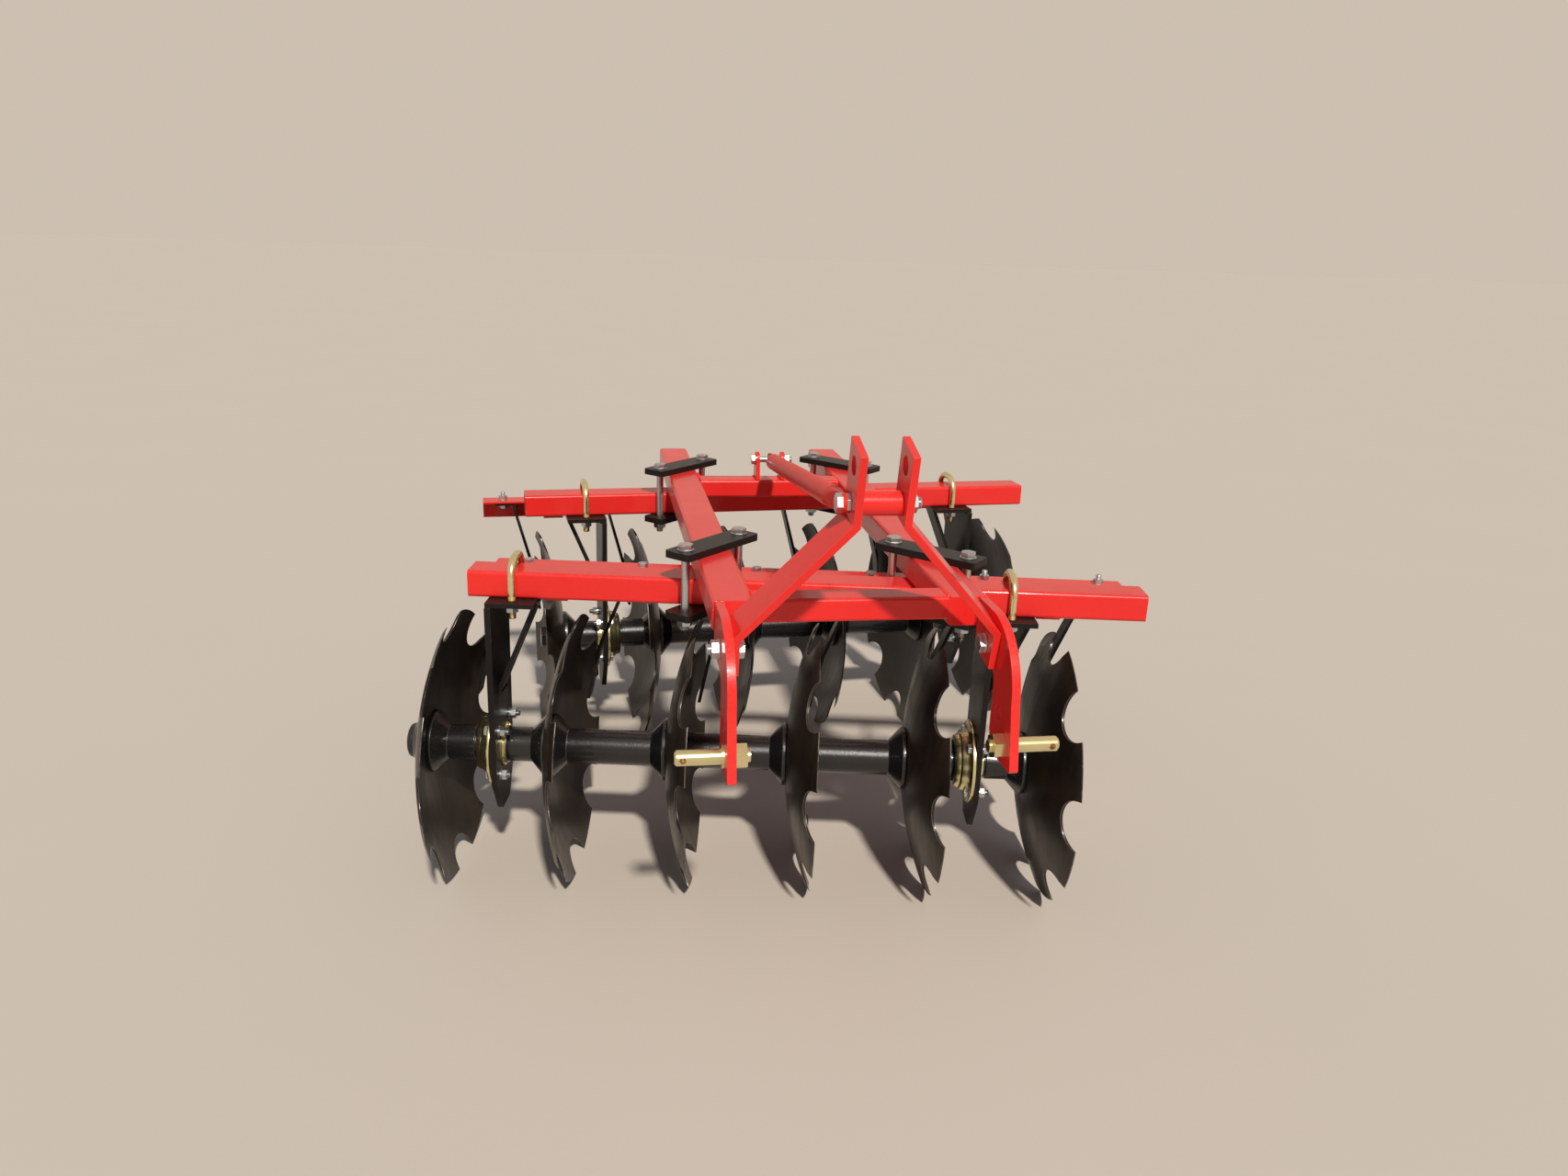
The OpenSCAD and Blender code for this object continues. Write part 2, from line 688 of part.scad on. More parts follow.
module scrapers_front() color(black) on_front() translate([front_shift, 0, axle_z])
    for (r = rims) scraper(r, 1);

module scrapers_rear() color(black) on_rear() translate([rear_shift, 0, axle_z])
    for (r = rims) scraper(r, -1);

module hanger_front_left() color(black) gang_front() hanger(hang[0]);

module hanger_front_right() color(black) gang_front() hanger(hang[1]);

module hanger_rear_left() color(black) gang_rear() hanger(hang[1]);

module hanger_rear_right() color(black) gang_rear() hanger(hang[0]);

module bearing_front_left() color(gold) gang_front() bearing(hang[0]);

module bearing_front_right() color(gold) gang_front() bearing(hang[1]);

module bearing_rear_left() color(gold) gang_rear() bearing(hang[1]);

module bearing_rear_right() color(gold) gang_rear() bearing(hang[0]);

module ubolt_front_left() color(gold) gang_front() ubolt(hang[0] + saddle_off);

module ubolt_front_right() color(gold) gang_front() ubolt(hang[1] + saddle_off);

module ubolt_rear_left() color(gold) gang_rear() ubolt(hang[1] + saddle_off);

module ubolt_rear_right() color(gold) gang_rear() ubolt(hang[0] + saddle_off);

rail_left();
rail_right();
front_cross_tube();
rear_cross_tube();
front_beam();
rear_beam();
mast_left();
mast_right();
mast_spacer();
mast_bolt();
foot_bolts();
link_plate_left();
link_plate_right();
link_pin_left();
link_pin_right();
top_stay();
stay_bracket();
stay_bolt();
clamp_front_left();
clamp_front_right();
clamp_rear_left();
clamp_rear_right();
clamp_bolts_front();
clamp_bolts_rear();
ubolt_front_left();
ubolt_front_right();
ubolt_rear_left();
ubolt_rear_right();
hanger_front_left();
hanger_front_right();
hanger_rear_left();
hanger_rear_right();
bearing_front_left();
bearing_front_right();
bearing_rear_left();
bearing_rear_right();
scraper_bar_front();
scraper_bar_rear();
scraper_straps_front();
scraper_straps_rear();
scrapers_front();
scrapers_rear();
axle_front();
axle_rear();
spools_front();
spools_rear();
disc_front_1();
disc_front_2();
disc_front_3();
disc_front_4();
disc_front_5();
disc_front_6();
disc_rear_1();
disc_rear_2();
disc_rear_3();
disc_rear_4();
disc_rear_5();
disc_rear_6();
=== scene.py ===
"""Looks for a three-point disc harrow with two opposed gangs of notched blades.

Every size is in millimetres until a mesh is placed, and the placed meshes are in metres in the
shared frame: +Z up, the hitch faces -Y.
"""

import logging
import math
from dataclasses import dataclass
from enum import Enum

import bmesh
import bpy
from mathutils import Matrix, Vector


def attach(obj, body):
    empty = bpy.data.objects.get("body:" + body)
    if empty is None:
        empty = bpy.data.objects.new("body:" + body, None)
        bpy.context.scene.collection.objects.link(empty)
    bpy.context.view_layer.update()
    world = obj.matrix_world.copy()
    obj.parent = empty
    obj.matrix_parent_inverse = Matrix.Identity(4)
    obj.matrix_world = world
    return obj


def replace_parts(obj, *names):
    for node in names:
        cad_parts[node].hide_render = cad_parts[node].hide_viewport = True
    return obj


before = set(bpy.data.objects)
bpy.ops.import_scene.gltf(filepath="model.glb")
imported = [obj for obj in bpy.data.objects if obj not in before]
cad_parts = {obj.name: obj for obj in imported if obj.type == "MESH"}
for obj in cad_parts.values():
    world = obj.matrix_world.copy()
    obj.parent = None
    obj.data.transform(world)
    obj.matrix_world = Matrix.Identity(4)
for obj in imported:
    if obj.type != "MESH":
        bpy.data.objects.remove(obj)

logging.basicConfig(level=logging.INFO, format="%(message)s")
LOG = logging.getLogger("harrow")

MM = 0.001
HALF = math.pi
QUARTER = math.pi / 2
SIDES = (-1, 1)
# Name of the face mark on rounded edges; it places edge wear, and on the red paint a painted highlight.
WEAR_AND_HIGHLIGHT_MARK = "wear"
Colour = tuple[float, float, float]
Point = tuple[float, float, float]
Profile = list[tuple[float, float]]
Material = bpy.types.Material
Node = bpy.types.Node
Piece = bpy.types.Object
Socket = bpy.types.NodeSocket
Tree = bpy.types.NodeTree


# Places


def moved(x: float, y: float, z: float) -> Matrix:
    """Returns a move along the three axes."""
    return Matrix.Translation((x, y, z))


def spun(angle: float, axis: str) -> Matrix:
    """Returns a turn, in radians, round the X, Y or Z axis."""
    return Matrix.Rotation(angle, 4, axis)


# Layout


@dataclass(frozen=True)
class Layout:
    """The machine's main places, in millimetres."""

    middle_x: float = -30.5
    middle_y: float = 257.8
    axle_z: float = 225.98
    beam_z: float = 501.98
    rail_z: float = 546.98
    top_z: float = 591.98
    front_angle: float = 10.0
    rear_angle: float = 5.0
    gang_gap: float = 670.0
    front_shift: float = -102.5
    rear_shift: float = 35.0
    disc_pitch: float = 205.0
    rail_x: float = 176.0
    rail_y0: float = -243.0
    rear_cross_y: float = 570.0
    tube_w: float = 62.0
    tube_h: float = 45.0
    beam_over_axle: float = 276.0
    plate_x: float = 190.0
    plate_t: float = 13.0
    foot_y: float = -313.0
    mast_t: float = 11.0
    mast_lean: float = 11.0
    ear_gap: float = 58.0
    scraper_y: float = 166.0

    @property
    def rims(self) -> list[float]:
        """Places of the blades' rims along a gang."""
        return [(i - 2.5) * self.disc_pitch for i in range(6)]

    @property
    def foot_z(self) -> float:
        """Height of the mast's foot bolts."""
        return self.beam_z + 43.0

    def on_frame(self) -> Matrix:
        """Millimetres on the frame to metres in the shared frame."""
        return Matrix.Scale(MM, 4) @ moved(-self.middle_x, -self.middle_y, 0.0)

    def on_front(self) -> Matrix:
        """Front beam's own millimetres to the shared frame."""
        return self.on_frame() @ spun(math.radians(-self.front_angle), "Z")

    def on_rear(self) -> Matrix:
        """Rear beam's own millimetres to the shared frame."""
        turn = spun(math.radians(self.rear_angle), "Z")
        return self.on_frame() @ moved(0.0, self.gang_gap, 0.0) @ turn

    def gang_front(self) -> Matrix:
        """Front gang's line to the shared frame, +X along its axle."""
        return self.on_front() @ moved(self.front_shift, 0.0, self.axle_z)

    def rear_line(self) -> Matrix:
        """Rear gang's line to the shared frame, +X as on the rear beam."""
        return self.on_rear() @ moved(self.rear_shift, 0.0, self.axle_z)

    def gang_rear(self) -> Matrix:
        """Rear gang's line to the shared frame, turned half round."""
        return self.rear_line() @ spun(HALF, "Z")

    def on_mast(self) -> Matrix:
        """Leaning mast's own millimetres to the shared frame."""
        lean = spun(math.radians(self.mast_lean), "X")
        return self.on_frame() @ moved(0.0, self.foot_y, self.foot_z) @ lean


PLAN = Layout()


# Shader helpers


class Sheet:
    """A shader node tree that is being wired."""

    def __init__(self, tree: Tree) -> None:
        """Starts with the node tree to fill."""
        self.tree = tree
        self.place = 0

    def add(self, kind: str, values: dict | None = None, **settings: object) -> Node:
        """Adds one node.

        Args:
            kind: The node's type name.
            values: What its inputs get, as in feed.
            settings: The node's own properties.

        Returns:
            The new node.
        """
        node = self.tree.nodes.new(kind)
        column, row = self.place % 8, self.place // 8
        node.location = (column * 190, -row * 260)
        self.place += 1
        for name, value in settings.items():
            setattr(node, name, value)
        self.feed(node, values or {})
        return node

    def feed(self, node: Node, values: dict) -> None:
        """Sets or links some of a node's inputs.

        Args:
            node: The node.
            values: Socket name or index to a plain value or to a socket that feeds it.
        """
        for key, value in values.items():
            if isinstance(value, Socket):
                self.tree.links.new(value, node.inputs[key])
            else:
                node.inputs[key].default_value = value

    def math(
        self, operation: str, a: object, b: object = 0.0, c: object = 0.0, clamp: bool = False
    ) -> Socket:
        """Adds a Math node and returns its output."""
        node = self.add("ShaderNodeMath", {0: a, 1: b, 2: c}, operation=operation, use_clamp=clamp)
        return node.outputs[0]

    def noise(self, vector: Socket, scale: object, detail: float = 3.0, rough: float = 0.5) -> Socket:
        """Adds a noise texture and returns its value."""
        values = {"Vector": vector, "Scale": scale, "Detail": detail, "Roughness": rough}
        return self.add("ShaderNodeTexNoise", values).outputs["Fac"]

    def ramp(self, value: Socket, low: float, high: float, start: float = 0.0, end: float = 1.0) -> Socket:
        """Maps a range of a value onto another range, smoothly."""
        span = {"Value": value, "From Min": low, "From Max": high, "To Min": start, "To Max": end}
        return self.add("ShaderNodeMapRange", span, interpolation_type="SMOOTHSTEP").outputs[0]

    def mix(self, factor: Socket, a: Colour | Socket, b: Colour | Socket) -> Socket:
        """Mixes two colours.

        Args:
            factor: How much of the second one.
            a: The first colour, or a socket with it.
            b: The second colour, or a socket with it.

        Returns:
            The mixed colour.
        """
        # A Mix node takes its colours on inputs 6 and 7 and gives a colour on output 2.
        first, second = (c if isinstance(c, Socket) else (*c, 1.0) for c in (a, b))
        node = self.add("ShaderNodeMix", {0: factor, 6: first, 7: second}, data_type="RGBA")
        return node.outputs[2]

    def turned(self, vector: Socket, turn: Point) -> Socket:
        """Adds a Mapping node that turns a vector and returns the result."""
        node = self.add("ShaderNodeMapping", {"Vector": vector, "Rotation": turn})
        return node.outputs[0]

    def bump(self, height: Socket, strength: float, distance: float) -> Socket:
        """Adds a Bump node and returns its normal."""
        values = {"Height": height, "Strength": strength, "Distance": distance}
        return self.add("ShaderNodeBump", values).outputs[0]


class Effect(Enum):
    """Effects that several finishes share, each one node group."""

    WEAR = "edge_wear"
    MOTTLE = "mottle"
    DUST = "settled_dust"
    PEEL = "spray_peel"
    STREAK = "rolled_streaks"


class Effects:
    """Builds each shared node group once and hands it out."""

    def __init__(self) -> None:
        """Starts with no group built."""
        self.groups: dict[Effect, Tree] = {}

    def get(self, effect: Effect) -> Tree:
        """Hands out the node group of an effect, building it the first time.

        Args:
            effect: Which effect.

        Returns:
            Its node group.
        """
        makers = {
            Effect.WEAR: self._wear,
            Effect.MOTTLE: self._mottle,
            Effect.DUST: self._dust,
            Effect.PEEL: self._peel,
            Effect.STREAK: self._streak,
        }
        if effect not in self.groups:
            self.groups[effect] = makers[effect](effect.value)
        return self.groups[effect]

    @staticmethod
    def _start(
        name: str, inputs: dict[str, float], outputs: tuple[str, ...]
    ) -> tuple[Sheet, dict[str, Socket], Node]:
        """Opens a group that is given coordinates, named Vector, and some numbers.

        Args:
            name: The group's name.
            inputs: Each number's name, with its default.
            outputs: Names of the numbers that the group puts out.

        Returns:
            The sheet, what the group is given by name, and its output node.
        """
        tree = bpy.data.node_groups.new(name, "ShaderNodeTree")
        tree.interface.new_socket(name="Vector", in_out="INPUT", socket_type="NodeSocketVector")
        for key, value in inputs.items():
            socket = tree.interface.new_socket(name=key, in_out="INPUT", socket_type="NodeSocketFloat")
            socket.default_value = value
        for key in outputs:
            tree.interface.new_socket(name=key, in_out="OUTPUT", socket_type="NodeSocketFloat")
        sheet = Sheet(tree)
        start = sheet.add("NodeGroupInput")
        given = {key: start.outputs[key] for key in ("Vector", *inputs)}
        return sheet, given, sheet.add("NodeGroupOutput")

    def _wear(self, name: str) -> Tree:
        """Mask of the rounded edges, broken up by noise, with the plain edge mark beside it, which the red
        paint uses for a painted highlight.

        Args:
            name: The group's name.

        Returns:
            The group.
        """
        inputs = {"Scale": 60.0, "Reach": 0.5, "Amount": 1.0}
        sheet, given, end = self._start(name, inputs, ("Mask", "Edge"))
        mark = sheet.add("ShaderNodeAttribute", attribute_name=WEAR_AND_HIGHLIGHT_MARK, attribute_type="GEOMETRY")
        edge = mark.outputs["Fac"]
        fine = sheet.noise(given["Vector"], given["Scale"], 6.0, 0.65)
        coarse = sheet.math("MULTIPLY", given["Scale"], 0.16)
        broad = sheet.noise(given["Vector"], coarse, 2.0)
        both = sheet.math("ADD", sheet.math("MULTIPLY", fine, 0.6), sheet.math("MULTIPLY", broad, 0.4))
        limit = sheet.math("SUBTRACT", 1.0, given["Reach"])
        chips = sheet.math("MULTIPLY", sheet.math("SUBTRACT", both, limit), 14.0, clamp=True)
        chips = sheet.math("MULTIPLY", chips, edge)
        mask = sheet.math("MULTIPLY", chips, given["Amount"], clamp=True)
        sheet.feed(end, {"Mask": mask, "Edge": edge})
        return sheet.tree

    def _mottle(self, name: str) -> Tree:
        """Broad and fine unevenness, centred on zero.

        Args:
            name: The group's name.

        Returns:
            The group.
        """
        sheet, given, end = self._start(name, {"Broad": 6.0, "Fine": 45.0}, ("Broad", "Fine"))
        for key, detail in (("Broad", 2.0), ("Fine", 5.0)):
            value = sheet.noise(given["Vector"], given[key], detail, 0.55)
            sheet.feed(end, {key: sheet.math("MULTIPLY_ADD", value, 2.0, -1.0)})
        return sheet.tree

    def _dust(self, name: str) -> Tree:
        """Mask of fine dust on what faces up, thickest low on the machine.

        Args:
            name: The group's name.

        Returns:
            The group.
        """
        inputs = {"Amount": 0.3, "Low": 0.0, "High": 0.7}
        sheet, given, end = self._start(name, inputs, ("Mask",))
        coords = sheet.add("ShaderNodeTexCoord")
        up = sheet.add("ShaderNodeSeparateXYZ", {0: coords.outputs["Normal"]}).outputs["Z"]
        height = sheet.add("ShaderNodeSeparateXYZ", {0: given["Vector"]}).outputs["Z"]
        facing = sheet.ramp(up, -0.2, 1.0, 0.15, 1.0)
        span = {"Value": height, "From Min": given["Low"], "From Max": given["High"]}
        low = sheet.add("ShaderNodeMapRange", {**span, "To Min": 1.0, "To Max": 0.25}).outputs[0]
        grain = sheet.noise(given["Vector"], 220.0, 4.0, 0.7)
        cloud = sheet.noise(given["Vector"], 14.0, 3.0, 0.6)
        broken = sheet.ramp(sheet.math("MULTIPLY", grain, sheet.math("ADD", cloud, 0.45)), 0.30, 0.72)
        mask = sheet.math("MULTIPLY", sheet.math("MULTIPLY", facing, low), broken)
        sheet.feed(end, {"Mask": sheet.math("MULTIPLY", mask, given["Amount"], clamp=True)})
        return sheet.tree

    def _peel(self, name: str) -> Tree:
        """Height of sprayed paint: an orange peel over slow waves.

        Args:
            name: The group's name.

        Returns:
            The group.
        """
        sheet, given, end = self._start(name, {"Scale": 260.0, "Waves": 0.5}, ("Height",))
        fine = sheet.noise(given["Vector"], given["Scale"], 1.0, 0.4)
        slow = sheet.noise(given["Vector"], 22.0, 1.0, 0.4)
        waves = sheet.math("MULTIPLY", slow, given["Waves"])
        sheet.feed(end, {"Height": sheet.math("ADD", fine, waves)})
        return sheet.tree

    def _streak(self, name: str) -> Tree:
        """Marks of rolling, long one way and narrow the other.

        Args:
            name: The group's name.

        Returns:
            The group.
        """
        inputs = {"Across": 60.0, "Along": 5.0}
        sheet, given, end = self._start(name, inputs, ("Streak", "Cloud"))
        sides = {0: given["Across"], 1: given["Across"], 2: given["Along"]}
        ratio = sheet.add("ShaderNodeCombineXYZ", sides).outputs[0]
        both = {0: given["Vector"], 1: ratio}
        stretched = sheet.add("ShaderNodeVectorMath", both, operation="MULTIPLY").outputs[0]
        streak = sheet.noise(stretched, 1.0, 4.0, 0.6)
        sheet.feed(end, {"Streak": streak, "Cloud": sheet.noise(given["Vector"], 9.0, 3.0, 0.55)})
        return sheet.tree


EFFECTS = Effects()


def grouped(sheet: Sheet, effect: Effect, coords: Socket, **values: object) -> dict[str, Socket]:
    """Places a shared group in a material.

    Args:
        sheet: The material's sheet.
        effect: Which group.
        coords: The coordinates that it reads.
        values: A number or a socket for each of its other inputs, by name.

    Returns:
        What the group puts out, by name.
    """
    inputs = {"Vector": coords, **values}
    node = sheet.add("ShaderNodeGroup", inputs, node_tree=EFFECTS.get(effect))
    return {socket.name: socket for socket in node.outputs}


# Finishes


@dataclass(frozen=True)
class Finish:
    """A finish of one material: its name and its slot in the record."""

    name: str
    slot: str

    def material(self) -> Material:
        """Returns the finish's material, built the first time it is asked for."""
        made = bpy.data.materials.get(self.name)
        return made if made else self.build()

    def build(self) -> Material:
        """Builds the material, one surface shader that the finish's patterns feed.

        Returns:
            The material.
        """
        material = bpy.data.materials.new(self.name)
        material.use_nodes = True
        material.node_tree.nodes.clear()
        sheet = Sheet(material.node_tree)
        surface = sheet.add("ShaderNodeBsdfPrincipled")
        sheet.add("ShaderNodeOutputMaterial", {"Surface": surface.outputs[0]})
        coords = sheet.add("ShaderNodeTexCoord").outputs["Object"]
        sheet.feed(surface, self.inputs(sheet, coords))
        return material

    def inputs(self, sheet: Sheet, coords: Socket) -> dict[str, object]:
        """Works out what the surface shader is given.

        Args:
            sheet: The material's sheet.
            coords: The object's own coordinates.

        Returns:
            Input name to a number, or to the socket that feeds it.
        """
        raise NotImplementedError


@dataclass(frozen=True)
class Enamel(Finish):
    """Sprayed gloss paint over steel, with chipped edges, a little dust and a painted highlight along its
    rounded edges.
    """

    colour: Colour = (0.88, 0.027, 0.02)
    deep: Colour = (0.72, 0.013, 0.012)
    under: Colour = (0.10, 0.03, 0.025)
    dust_colour: Colour = (0.52, 0.42, 0.34)
    rough: float = 0.30
    coat: float = 0.26
    coat_rough: float = 0.08
    shine: float = 0.25
    reach: float = 0.42
    dust: float = 0.18
    peel: float = 0.05
    grain: float = 300.0

    def inputs(self, sheet: Sheet, coords: Socket) -> dict[str, object]:
        """Works out the paint's colour, gloss and orange peel.

        Args:
            sheet: The material's sheet.
            coords: The object's own coordinates.

        Returns:
            Input name to a number, or to the socket that feeds it.
        """
        mottle = grouped(sheet, Effect.MOTTLE, coords, Broad=5.0, Fine=38.0)
        wear = grouped(sheet, Effect.WEAR, coords, Scale=70.0, Reach=self.reach, Amount=0.85)
        dust = grouped(sheet, Effect.DUST, coords, Amount=self.dust, Low=0.05, High=0.75)
        peel = grouped(sheet, Effect.PEEL, coords, Scale=self.grain, Waves=0.8)
        shade = sheet.math("MULTIPLY_ADD", mottle["Broad"], 0.55, 0.35, clamp=True)
        tone = sheet.mix(shade, self.colour, self.deep)
        specks = sheet.ramp(mottle["Fine"], 0.25, 0.6, 0.0, 0.12)
        tone = sheet.mix(specks, tone, self.deep)
        # Painted highlight: every rounded edge is mixed towards a lighter red.
        rim = sheet.math("MULTIPLY", wear["Edge"], 0.22)
        light = tuple(min(1.0, c * 1.12 + 0.06) for c in self.colour)
        tone = sheet.mix(rim, tone, light)
        tone = sheet.mix(wear["Mask"], tone, self.under)
        tone = sheet.mix(dust["Mask"], tone, self.dust_colour)
        rough = sheet.math("MULTIPLY_ADD", mottle["Fine"], 0.06, self.rough)
        rough = sheet.math("ADD", rough, sheet.math("MULTIPLY", dust["Mask"], 0.5))
        rough = sheet.math("ADD", rough, sheet.math("MULTIPLY", wear["Mask"], 0.25), clamp=True)
        covered = sheet.math("MAXIMUM", wear["Mask"], dust["Mask"])
        bare = sheet.math("SUBTRACT", 1.0, covered)
        return {
            "Base Color": tone,
            "Roughness": rough,
            "Coat Weight": sheet.math("MULTIPLY", bare, self.coat),
            "Coat Roughness": self.coat_rough,
            "Specular IOR Level": self.shine,
            "Normal": sheet.bump(peel["Height"], self.peel, 0.002),
        }


@dataclass(frozen=True)
class BladeLacquer(Finish):
    """Dark lacquer over rolled steel, with the ground rim showing bright in places."""

    angle: float = -10.0
    colour: Colour = (0.010, 0.0075, 0.006)
    brown: Colour = (0.040, 0.026, 0.018)
    rim: Colour = (0.16, 0.14, 0.13)
    steel: Colour = (0.33, 0.30, 0.28)
    dust_colour: Colour = (0.30, 0.24, 0.19)
    rough: float = 0.29
    coat: float = 0.1
    coat_rough: float = 0.14
    shine: float = 0.22
    relief: float = 0.12

    def inputs(self, sheet: Sheet, coords: Socket) -> dict[str, object]:
        """Works out the lacquer's streaks, its worn rim and its dust.

        Args:
            sheet: The material's sheet.
            coords: The object's own coordinates.

        Returns:
            Input name to a number, or to the socket that feeds it.
        """
        turned = sheet.turned(coords, (0.0, 0.0, math.radians(-self.angle)))
        streak = grouped(sheet, Effect.STREAK, turned, Across=70.0, Along=6.0)
        wear = grouped(sheet, Effect.WEAR, coords, Scale=55.0, Reach=0.56, Amount=1.0)
        dust = grouped(sheet, Effect.DUST, coords, Amount=0.18, Low=0.0, High=0.5)
        cloud = sheet.ramp(streak["Cloud"], 0.32, 0.68)
        lines = sheet.ramp(streak["Streak"], 0.35, 0.7)
        both = sheet.math("MULTIPLY_ADD", lines, 0.22, sheet.math("MULTIPLY", cloud, 0.62), clamp=True)
        tone = sheet.mix(both, self.colour, self.brown)
        tone = sheet.mix(sheet.math("MULTIPLY", wear["Edge"], 0.35), tone, self.rim)
        tone = sheet.mix(wear["Mask"], tone, self.steel)
        tone = sheet.mix(sheet.math("MULTIPLY", dust["Mask"], 0.6), tone, self.dust_colour)
        rough = sheet.math("MULTIPLY_ADD", lines, 0.10, self.rough)
        rough = sheet.math("ADD", rough, sheet.math("MULTIPLY", dust["Mask"], 0.4), clamp=True)
        height = sheet.math("MULTIPLY_ADD", streak["Streak"], 0.6, streak["Cloud"])
        return {
            "Base Color": tone,
            "Metallic": sheet.math("MULTIPLY", wear["Mask"], 0.9),
            "Roughness": rough,
            "Coat Weight": self.coat,
            "Coat Roughness": self.coat_rough,
            "Specular IOR Level": self.shine,
            "Normal": sheet.bump(height, self.relief, 0.003),
        }


@dataclass(frozen=True)
class Plating(Finish):
    """Zinc plate, plain or chromated, over turned and forged steel."""

    colour: Colour = (0.60, 0.61, 0.63)
    second: Colour = (0.46, 0.48, 0.51)
    third: Colour = (0.66, 0.66, 0.64)
    rubbed: Colour = (0.82, 0.80, 0.76)
    dust_colour: Colour = (0.45, 0.38, 0.30)
    rough: float = 0.32
    grain: float = 60.0

    def inputs(self, sheet: Sheet, coords: Socket) -> dict[str, object]:
        """Works out the plating's three tones, its rubbed edges and its dust.

        Args:
            sheet: The material's sheet.
            coords: The object's own coordinates.

        Returns:
            Input name to a number, or to the socket that feeds it.
        """
        mottle = grouped(sheet, Effect.MOTTLE, coords, Broad=18.0, Fine=self.grain)
        dust = grouped(sheet, Effect.DUST, coords, Amount=0.12, Low=0.05, High=0.8)
        wear = grouped(sheet, Effect.WEAR, coords, Scale=120.0, Reach=0.5, Amount=0.8)
        one = sheet.math("MULTIPLY_ADD", mottle["Broad"], 1.1, 0.35, clamp=True)
        two = sheet.math("MULTIPLY_ADD", mottle["Fine"], 0.5, 0.15, clamp=True)
        tone = sheet.mix(one, self.colour, self.second)
        tone = sheet.mix(two, tone, self.third)
        tone = sheet.mix(sheet.math("MULTIPLY", wear["Mask"], 0.5), tone, self.rubbed)
        tone = sheet.mix(sheet.math("MULTIPLY", dust["Mask"], 0.7), tone, self.dust_colour)
        metal = sheet.math("SUBTRACT", 1.0, sheet.math("MULTIPLY", dust["Mask"], 0.8))
        rough = sheet.math("MULTIPLY_ADD", mottle["Fine"], 0.06, self.rough)
        rough = sheet.math("ADD", rough, sheet.math("MULTIPLY", dust["Mask"], 0.5), clamp=True)
        return {
            "Base Color": tone,
            "Metallic": metal,
            "Roughness": rough,
            "Normal": sheet.bump(mottle["Fine"], 0.02, 0.0005),
        }


@dataclass(frozen=True)
class Rubber(Finish):
    """Black rubber of the bearing seals."""

    colour: Colour = (0.012, 0.012, 0.013)
    pale: Colour = (0.03, 0.028, 0.026)
    rough: float = 0.55

    def inputs(self, sheet: Sheet, coords: Socket) -> dict[str, object]:
        """Works out the rubber's mottled grey and its grain.

        Args:
            sheet: The material's sheet.
            coords: The object's own coordinates.

        Returns:
            Input name to a number, or to the socket that feeds it.
        """
        mottle = grouped(sheet, Effect.MOTTLE, coords, Broad=30.0, Fine=240.0)
        shade = sheet.math("MULTIPLY_ADD", mottle["Fine"], 0.5, 0.4, clamp=True)
        return {
            "Base Color": sheet.mix(shade, self.colour, self.pale),
            "Roughness": sheet.math("MULTIPLY_ADD", mottle["Fine"], 0.08, self.rough),
            "Normal": sheet.bump(mottle["Fine"], 0.1, 0.001),
        }


RED = Enamel("red_enamel", "red_paint")
# The stay's red is the same paint as RED, made darker and more orange as painted shade and a painted warm
# reflection, with less gloss and coat.
STAY_RED_SHADED = Enamel(
    "red_stay_enamel_shaded", "red_paint", colour=(0.84, 0.034, 0.018), deep=(0.66, 0.020, 0.012),
    rough=0.40, coat=0.04, shine=0.08, dust=0.10,
)
BLACK = Enamel(
    "black_enamel", "black_paint", colour=(0.006, 0.006, 0.007), deep=(0.011, 0.009, 0.008),
    under=(0.10, 0.085, 0.075), dust_colour=(0.20, 0.17, 0.14), rough=0.27, coat=0.42, shine=0.42,
    reach=0.44, dust=0.05, peel=0.15, grain=800.0,
)
BRACKET_BLACK = Enamel(
    "black_bracket_paint", "black_paint", colour=(0.010, 0.008, 0.0075), deep=(0.020, 0.015, 0.012),
    under=(0.13, 0.10, 0.085), dust_colour=(0.22, 0.175, 0.14), rough=0.36, coat=0.04, shine=0.14,
    reach=0.46, dust=0.10, peel=0.06, grain=420.0,
)
FRONT_BLADES = BladeLacquer("front_blade_lacquer", "blade_steel", angle=-10.0)
REAR_BLADES = BladeLacquer("rear_blade_lacquer", "blade_steel", angle=5.0)
GOLD = Plating(
    "yellow_chromate", "yellow_zinc", colour=(0.88, 0.79, 0.44), second=(0.60, 0.57, 0.28),
    third=(0.82, 0.68, 0.43), rough=0.23, grain=36.0,
)
ZINC = Plating("bright_zinc", "white_zinc")
RUBBER = Rubber("seal_rubber", "black_paint")


# Shapes


